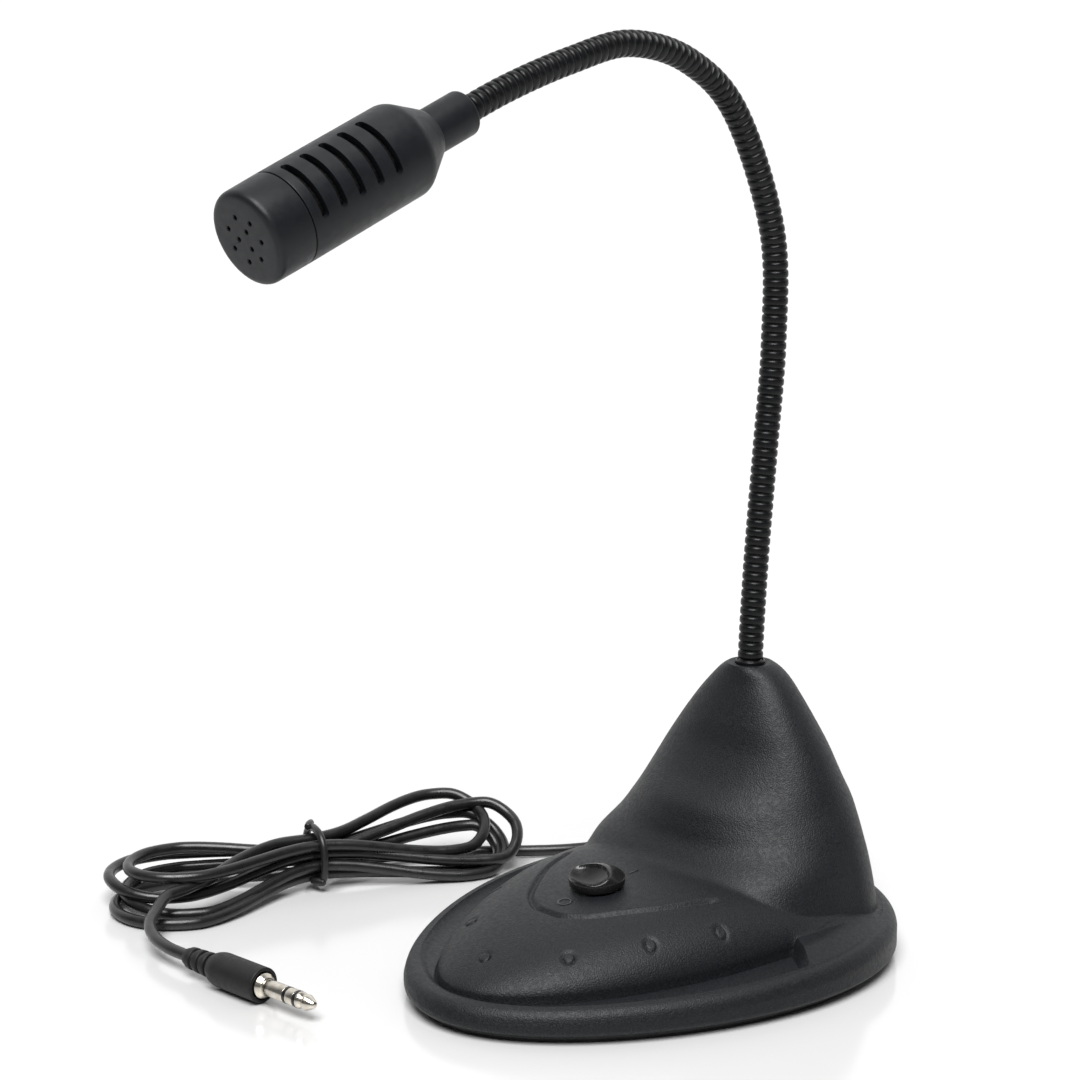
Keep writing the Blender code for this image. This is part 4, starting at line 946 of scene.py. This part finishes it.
def detail_height(x, y, outline):
    """Studs and the groove about the switch panel, as height above the plain deck."""
    height = 0.0
    for stud_x, stud_y in STUDS:
        distance = math.hypot(x - stud_x, y - stud_y)
        if distance < DIMPLE_RADIUS:
            height += stud_relief(distance)
    point = Vector((x, y, 0.0))
    if within(x, y, PANEL_REACH):
        distance = min(segment_distance(point, a, b) for a, b in zip(outline, outline[1:]))
        if distance < PANEL_GROOVE_WIDTH:
            to_end = min((point - outline[0]).length, (point - outline[-1]).length)
            fade = smoothstep(to_end / PANEL_GROOVE_FADE)
            height -= fade * PANEL_GROOVE * (1.0 - smoothstep(distance / PANEL_GROOVE_WIDTH))
    return height


def near_detail(x, y, outline):
    if any(math.hypot(x - a, y - b) < DIMPLE_RADIUS + 0.8 for a, b in STUDS):
        return True
    point = Vector((x, y, 0.0))
    return any((point - knot).length < PANEL_GROOVE_WIDTH + 1.3 for knot in outline)


def base_cover():
    """Smooth shell through all rays, divided finely and pressed into shape at the details."""
    rays = [Ray(2.0 * math.pi * (k + 0.5) / COVER_RAYS) for k in range(COVER_RAYS)]
    rings = [list(ring) for ring in zip(*[ray.points() for ray in rays])]
    mesh = skin("cover_shell", rings, wrap=True)
    outline = panel_outline()
    bm = bmesh.new()
    bm.from_mesh(mesh)
    for cuts in (2, 1):
        faces = []
        for face in bm.faces:
            centre = face.calc_center_median() / MM
            outside = face.normal.z > 0.5 and centre.z > 8.0
            if outside and within(centre.x, centre.y, DETAIL_REACH):
                if near_detail(centre.x, centre.y, outline):
                    faces.append(face)
        edges = list({edge for face in faces for edge in face.edges})
        bmesh.ops.subdivide_edges(bm, edges=edges, cuts=cuts, use_grid_fill=True)
    for vertex in bm.verts:
        x, y, z = vertex.co / MM
        if within(x, y, DETAIL_REACH) and abs(z - top_height(x, y)) < 0.25:
            if near_detail(x, y, outline):
                vertex.co.z = (top_height(x, y) + detail_height(x, y, outline)) * MM
    bm.to_mesh(mesh)
    bm.free()
    smooth_mesh(mesh, 62.0)
    slot = prism("slot", 1.7, 3.4, -4.0, 4.0, placed(KNOB_PLACE, (0.0, 0.0, 0.0)))
    exit_place = placed((0.0, 0.5 * BASE_LENGTH, CORD_EXIT_Z), (0.5 * math.pi, 0.0, 0.0))
    hole = turned("hole", [(1.95, -6.0), (1.95, 6.0)], exit_place, 32)
    cover = carve(mesh, [slot, hole], "cover_shell")
    piece = add_piece("cover_shell", cover, "base_plastic", "base")
    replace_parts(piece, "base_cover")


def mark_ring(x, y, side, width):
    """Section of a raised mark where it passes (x, y) on the deck."""
    centre = Vector((x, y, deck_height(x, y)))
    return [centre + width * math.cos(t) * side + Vector((0.0, 0.0, MARK_HEIGHT * math.sin(t)))
            for t in circle(10)]


def deck_marks():
    """Ring for off and bar for on, raised from the deck."""
    rings = []
    for angle in circle(48):
        side = Vector((math.cos(angle), math.sin(angle), 0.0))
        rings.append(mark_ring(MARK_SIZE * side.x, MARK_OFF_Y + MARK_SIZE * side.y, side, MARK_WIDTH))
    add_piece("mark_off", skin("mark_off", rings, wrap=True), "base_plastic", "base", "gloss_abs")
    rings = []
    for part in (-1.0, -0.97, -0.85, 0.0, 0.85, 0.97, 1.0):
        width = MARK_WIDTH * math.sqrt(max(0.04, 1.0 - max(0.0, abs(part) - 0.85) ** 2 / 0.0225))
        rings.append(mark_ring(0.0, MARK_ON_Y + MARK_BAR * part, Vector((1.0, 0.0, 0.0)), width))
    add_piece("mark_on", skin("mark_on", rings), "base_plastic", "base", "gloss_abs")


# --- switch button ---

def knob_height(u, v):
    """Top of the button: a scoop in its front half, a crescent ridge, and a slope behind it."""
    level = math.hypot(u, v) / KNOB_RADIUS
    ridge = 1.3 - 0.1 * u * u
    height = KNOB_LIFT + KNOB_HEIGHT - 0.035 * u * u
    if v > ridge:
        height -= 1.9 * smoothstep((v - ridge) / 5.6)
    else:
        bowl = math.hypot(u / 4.9, (v + 1.9) / 3.6)
        height -= 1.2 * smoothstep((ridge - v) / 5.5)
        height -= 1.9 * (1.0 - bowl * bowl) ** 0.7 if bowl < 1.0 else 0.0
    shoulder = max(0.0, (level - 0.82) / 0.18)
    return height - (height - KNOB_LIFT - 1.5) * (1.0 - math.sqrt(max(0.0, 1.0 - shoulder * shoulder)))


def switch_button():
    place = placed(KNOB_PLACE, (SWITCH_TILT, 0.0, 0.0))
    angles = circle(BUTTON_SIDES)
    rings = []
    for k in range(1, BUTTON_RINGS + 1):
        radius = KNOB_RADIUS * math.sin(0.5 * math.pi * k / BUTTON_RINGS)
        rings.append([(u, v, knob_height(u, v)) for u, v, _ in ring(radius, 0.0, angles)])
    for radius, rise in ((KNOB_RADIUS, 0.9), (5.75, 0.4), (5.62, 0.1), (5.4, 0.0), (2.2, 0.0)):
        rings.append(ring(radius, KNOB_LIFT + rise, angles))
    mesh = skin("thumb_button", rings, tips=((0.0, 0.0, knob_height(0.0, 0.0)), (0.0, 0.0, KNOB_LIFT)),
                matrix=place)
    button = add_piece("thumb_button", mesh, "switch_plastic", "switch")
    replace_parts(button, "switch_knob")
    post = prism("button_post", 1.1, 1.3, KNOB_LIFT + 0.1, -3.4, place)
    add_piece("button_post", post, "switch_plastic", "switch")


# --- gooseneck ---

NECK = Path([(0.0, y, z) for y, z in NECK_PATH])
NECK_END = NECK.length - NECK_IN_COLLAR
COLLAR_BACK = NECK.at(NECK_END)


def hinge_distances():
    first = bisect(lambda distance: FIRST_HINGE_Z - NECK.at(distance).z, 0.0, 0.5 * NECK.length)
    last = NECK_END - LAST_HINGE_BACK
    return [first + (last - first) * k / (HINGE_COUNT - 1) for k in range(HINGE_COUNT)]


def rib_radius(distance):
    """Broad rounded crests with narrow grooves between them."""
    phase = (distance / RIB_PITCH) % 1.0 - 0.5
    groove = math.exp(-(phase / 0.13) ** 2)
    return NECK_RADIUS - RIB_DEPTH * groove - 0.05 * math.cos(math.pi * phase) ** 2


def neck_sleeve(name, start, end):
    """A length of ribbed tube with a ring wherever a rib turns."""
    phases = (0.0, 0.16, 0.28, 0.36, 0.42, 0.47, 0.53, 0.58, 0.64, 0.72, 0.84)
    first = math.floor(start / RIB_PITCH)
    stations = [(first + k + phase) * RIB_PITCH for k in range(math.ceil((end - start) / RIB_PITCH) + 2)
                for phase in phases]
    stations = [start] + [s for s in stations if start + 0.02 < s < end - 0.02] + [end]
    rings = []
    for distance in stations:
        centre = NECK.at(distance)
        side = Vector((1.0, 0.0, 0.0))
        up = side.cross(NECK.direction(distance))
        radius = rib_radius(distance)
        rings.append([centre + radius * (math.cos(a) * side + math.sin(a) * up) for a in circle(NECK_SIDES)])
    return skin(name, rings)


def gooseneck():
    """Ribbed sleeves from mid-link to mid-link; each spans the hinge inside it."""
    hinges = hinge_distances()
    middles = [0.5 * (a + b) for a, b in zip(hinges, hinges[1:])]
    starts = [0.6] + middles
    ends = middles + [NECK.length - 0.6]
    nodes = ["neck_root"] + [f"neck_link_{k}" for k in range(1, HINGE_COUNT)] + ["neck_tip"]
    foot = bisect(lambda distance: CONE_TOP + 1.0 - NECK.at(distance).z, 0.0, 0.5 * NECK.length)
    for k, (start, end) in enumerate(zip(starts, ends)):
        name = f"neck_sleeve_{k + 1}"
        piece = add_piece(name, neck_sleeve(name, start, end), "neck_coating")
        bend_start = foot if k == 0 else start
        bend_end = NECK_END if k == HINGE_COUNT - 1 else end
        NECK.at(bend_start) * MM
        NECK.at(bend_end) * MM
        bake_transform(piece)
        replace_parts(piece, nodes[k])
        if k == HINGE_COUNT - 1:
            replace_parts(piece, nodes[k + 1])


def neck_foot_ring():
    profile = [(2.78, 58.3, 0.0), (3.15, 58.3, 0.0), (3.15, 59.1, 0.35), (2.78, 59.3, 0.1)]
    place = Matrix.Translation((0.0, NECK_Y, 0.0))
    mesh = turned("neck_foot_ring", rounded(profile, closed=True), place, 48, True)
    add_piece("neck_foot_ring", mesh, "neck_coating", "base")


# --- head ---

HEAD = placed(COLLAR_BACK, (0.5 * math.pi + HEAD_PITCH, 0.0, 0.0))


def slot_cutter(degrees, middle):
    """Arc-shaped block with round ends; its flat outer face stays clear of the head."""
    centre = math.radians(90.0 + degrees)
    half = 0.5 * SLOT_WIDTH
    end_arc = half / HEAD_RADIUS
    outline = []
    for side in (1.0, -1.0):
        for k in range(9):
            turn = math.pi * k / 8
            angle = centre + side * (SLOT_HALF_ARC - end_arc + end_arc * math.sin(turn))
            outline.append((angle, middle + side * half * math.cos(turn)))
        steps = 18
        far = centre + side * (SLOT_HALF_ARC - end_arc)
        for k in range(1, steps):
            angle = far - side * 2.0 * (SLOT_HALF_ARC - end_arc) * k / steps
            outline.append((angle, middle - side * half))
    rings = []
    for radius in (HEAD_RADIUS - 3.0, HEAD_RADIUS + 7.0):
        rings.append([(radius * math.cos(a), radius * math.sin(a), z) for a, z in outline])
    return skin("slot", rings, matrix=HEAD)


def head_shell():
    inner = HEAD_RADIUS - HEAD_WALL
    seam = SEAM - 0.12
    profile = [(HEAD_RADIUS, seam, 0.2), (HEAD_RADIUS, 34.0, 0.0), (HEAD_RADIUS, TAPER_END - 0.1, 1.0),
               (5.25, COLLAR_LENGTH + 0.5, 0.2), (4.95, COLLAR_LENGTH + 0.05, 0.15),
               (4.2, COLLAR_LENGTH + 0.05, 0.0), (4.2, 15.6, 0.0), (inner, TAPER_END + 1.2, 0.0),
               (inner, seam, 0.0)]
    mesh = turned("head_shell", rounded(profile, closed=True), HEAD, HEAD_SIDES, True)
    cutters = [slot_cutter(degrees, SLOT_FIRST - SLOT_PITCH * k)
               for degrees in SLOT_SETS for k in range(SLOT_COUNT)]
    shell = add_piece("head_shell", carve(mesh, cutters, "head_shell"), "head_plastic", "head")
    edge = shell.modifiers.new("soft_edges", "BEVEL")
    edge.width = 0.12 * MM
    edge.segments = 2
    edge.limit_method = "ANGLE"
    edge.angle_limit = math.radians(55.0)
    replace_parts(shell, "head_body")


def head_cap():
    inner = SPIGOT_RADIUS - SPIGOT_WALL
    bottom = SEAM - SPIGOT_LENGTH
    seam = SEAM + 0.12
    profile = [(0.0, HEAD_LENGTH, 0.0), (6.0, HEAD_LENGTH, 0.0), (HEAD_RADIUS - 0.1, HEAD_LENGTH - 0.1, 1.5),
               (HEAD_RADIUS, seam, 0.2), (SPIGOT_RADIUS, seam, 0.0), (SPIGOT_RADIUS, bottom, 0.0),
               (inner, bottom, 0.0), (inner, HEAD_LENGTH - CAP_WALL, 0.0), (0.0, HEAD_LENGTH - CAP_WALL, 0.0)]
    mesh = turned("head_front_cap", rounded(profile, steps=8), HEAD, HEAD_SIDES)
    cutters = []
    for count, reach, turn in CAP_HOLES:
        for k in range(count):
            angle = 2.0 * math.pi * (k + turn) / count
            place = HEAD @ Matrix.Translation((reach * math.cos(angle), reach * math.sin(angle), HEAD_LENGTH))
            funnel = [(CAP_HOLE_RADIUS, -3.0), (CAP_HOLE_RADIUS, -0.15), (CAP_HOLE_RADIUS + 0.15, 0.0),
                      (CAP_HOLE_RADIUS + 0.15, 1.0)]
            cutters.append(turned("hole", funnel, place, 20))
    cap = add_piece("head_front_cap", carve(mesh, cutters, "head_front_cap"), "head_plastic", "head")
    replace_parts(cap, "head_cap")


def head_collar():
    bore = NECK_RADIUS + 0.12
    shoulder = COLLAR_LENGTH - 0.1
    profile = [(3.9, 17.0, 0.0), (3.9, shoulder, 0.0), (COLLAR_RADIUS, shoulder, 0.2),
               (COLLAR_RADIUS, COLLAR_START, 1.5), (bore, COLLAR_START, 0.2),
               (bore, NECK_IN_COLLAR, 0.0), (1.6, 8.6, 0.0), (1.6, 17.0, 0.0)]
    mesh = turned("neck_collar", rounded(profile, closed=True, steps=8), HEAD, 96, True)
    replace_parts(add_piece("neck_collar", mesh, "head_plastic", "head"), "head_collar")


# --- carried-over parts ---

def finish_cad_nodes():
    """Give every CAD node that stays in sight the finish of its slot."""
    slots = {row["node"]: row["material_slot"] for row in frame["record"]["subparts"]}
    for name, item in frame["nodes"].items():
        shade = SHADES[SLOT_SHADES[slots[name]]]
        if name == "slot_liner":
            shade = SHADES["dark_foam"]
        for slot in item.material_slots:
            slot.material = shade


camera()
studio()
cord()
base_cover()
deck_marks()
switch_button()
gooseneck()
neck_foot_ring()
head_collar()
head_shell()
head_cap()
finish_cad_nodes()
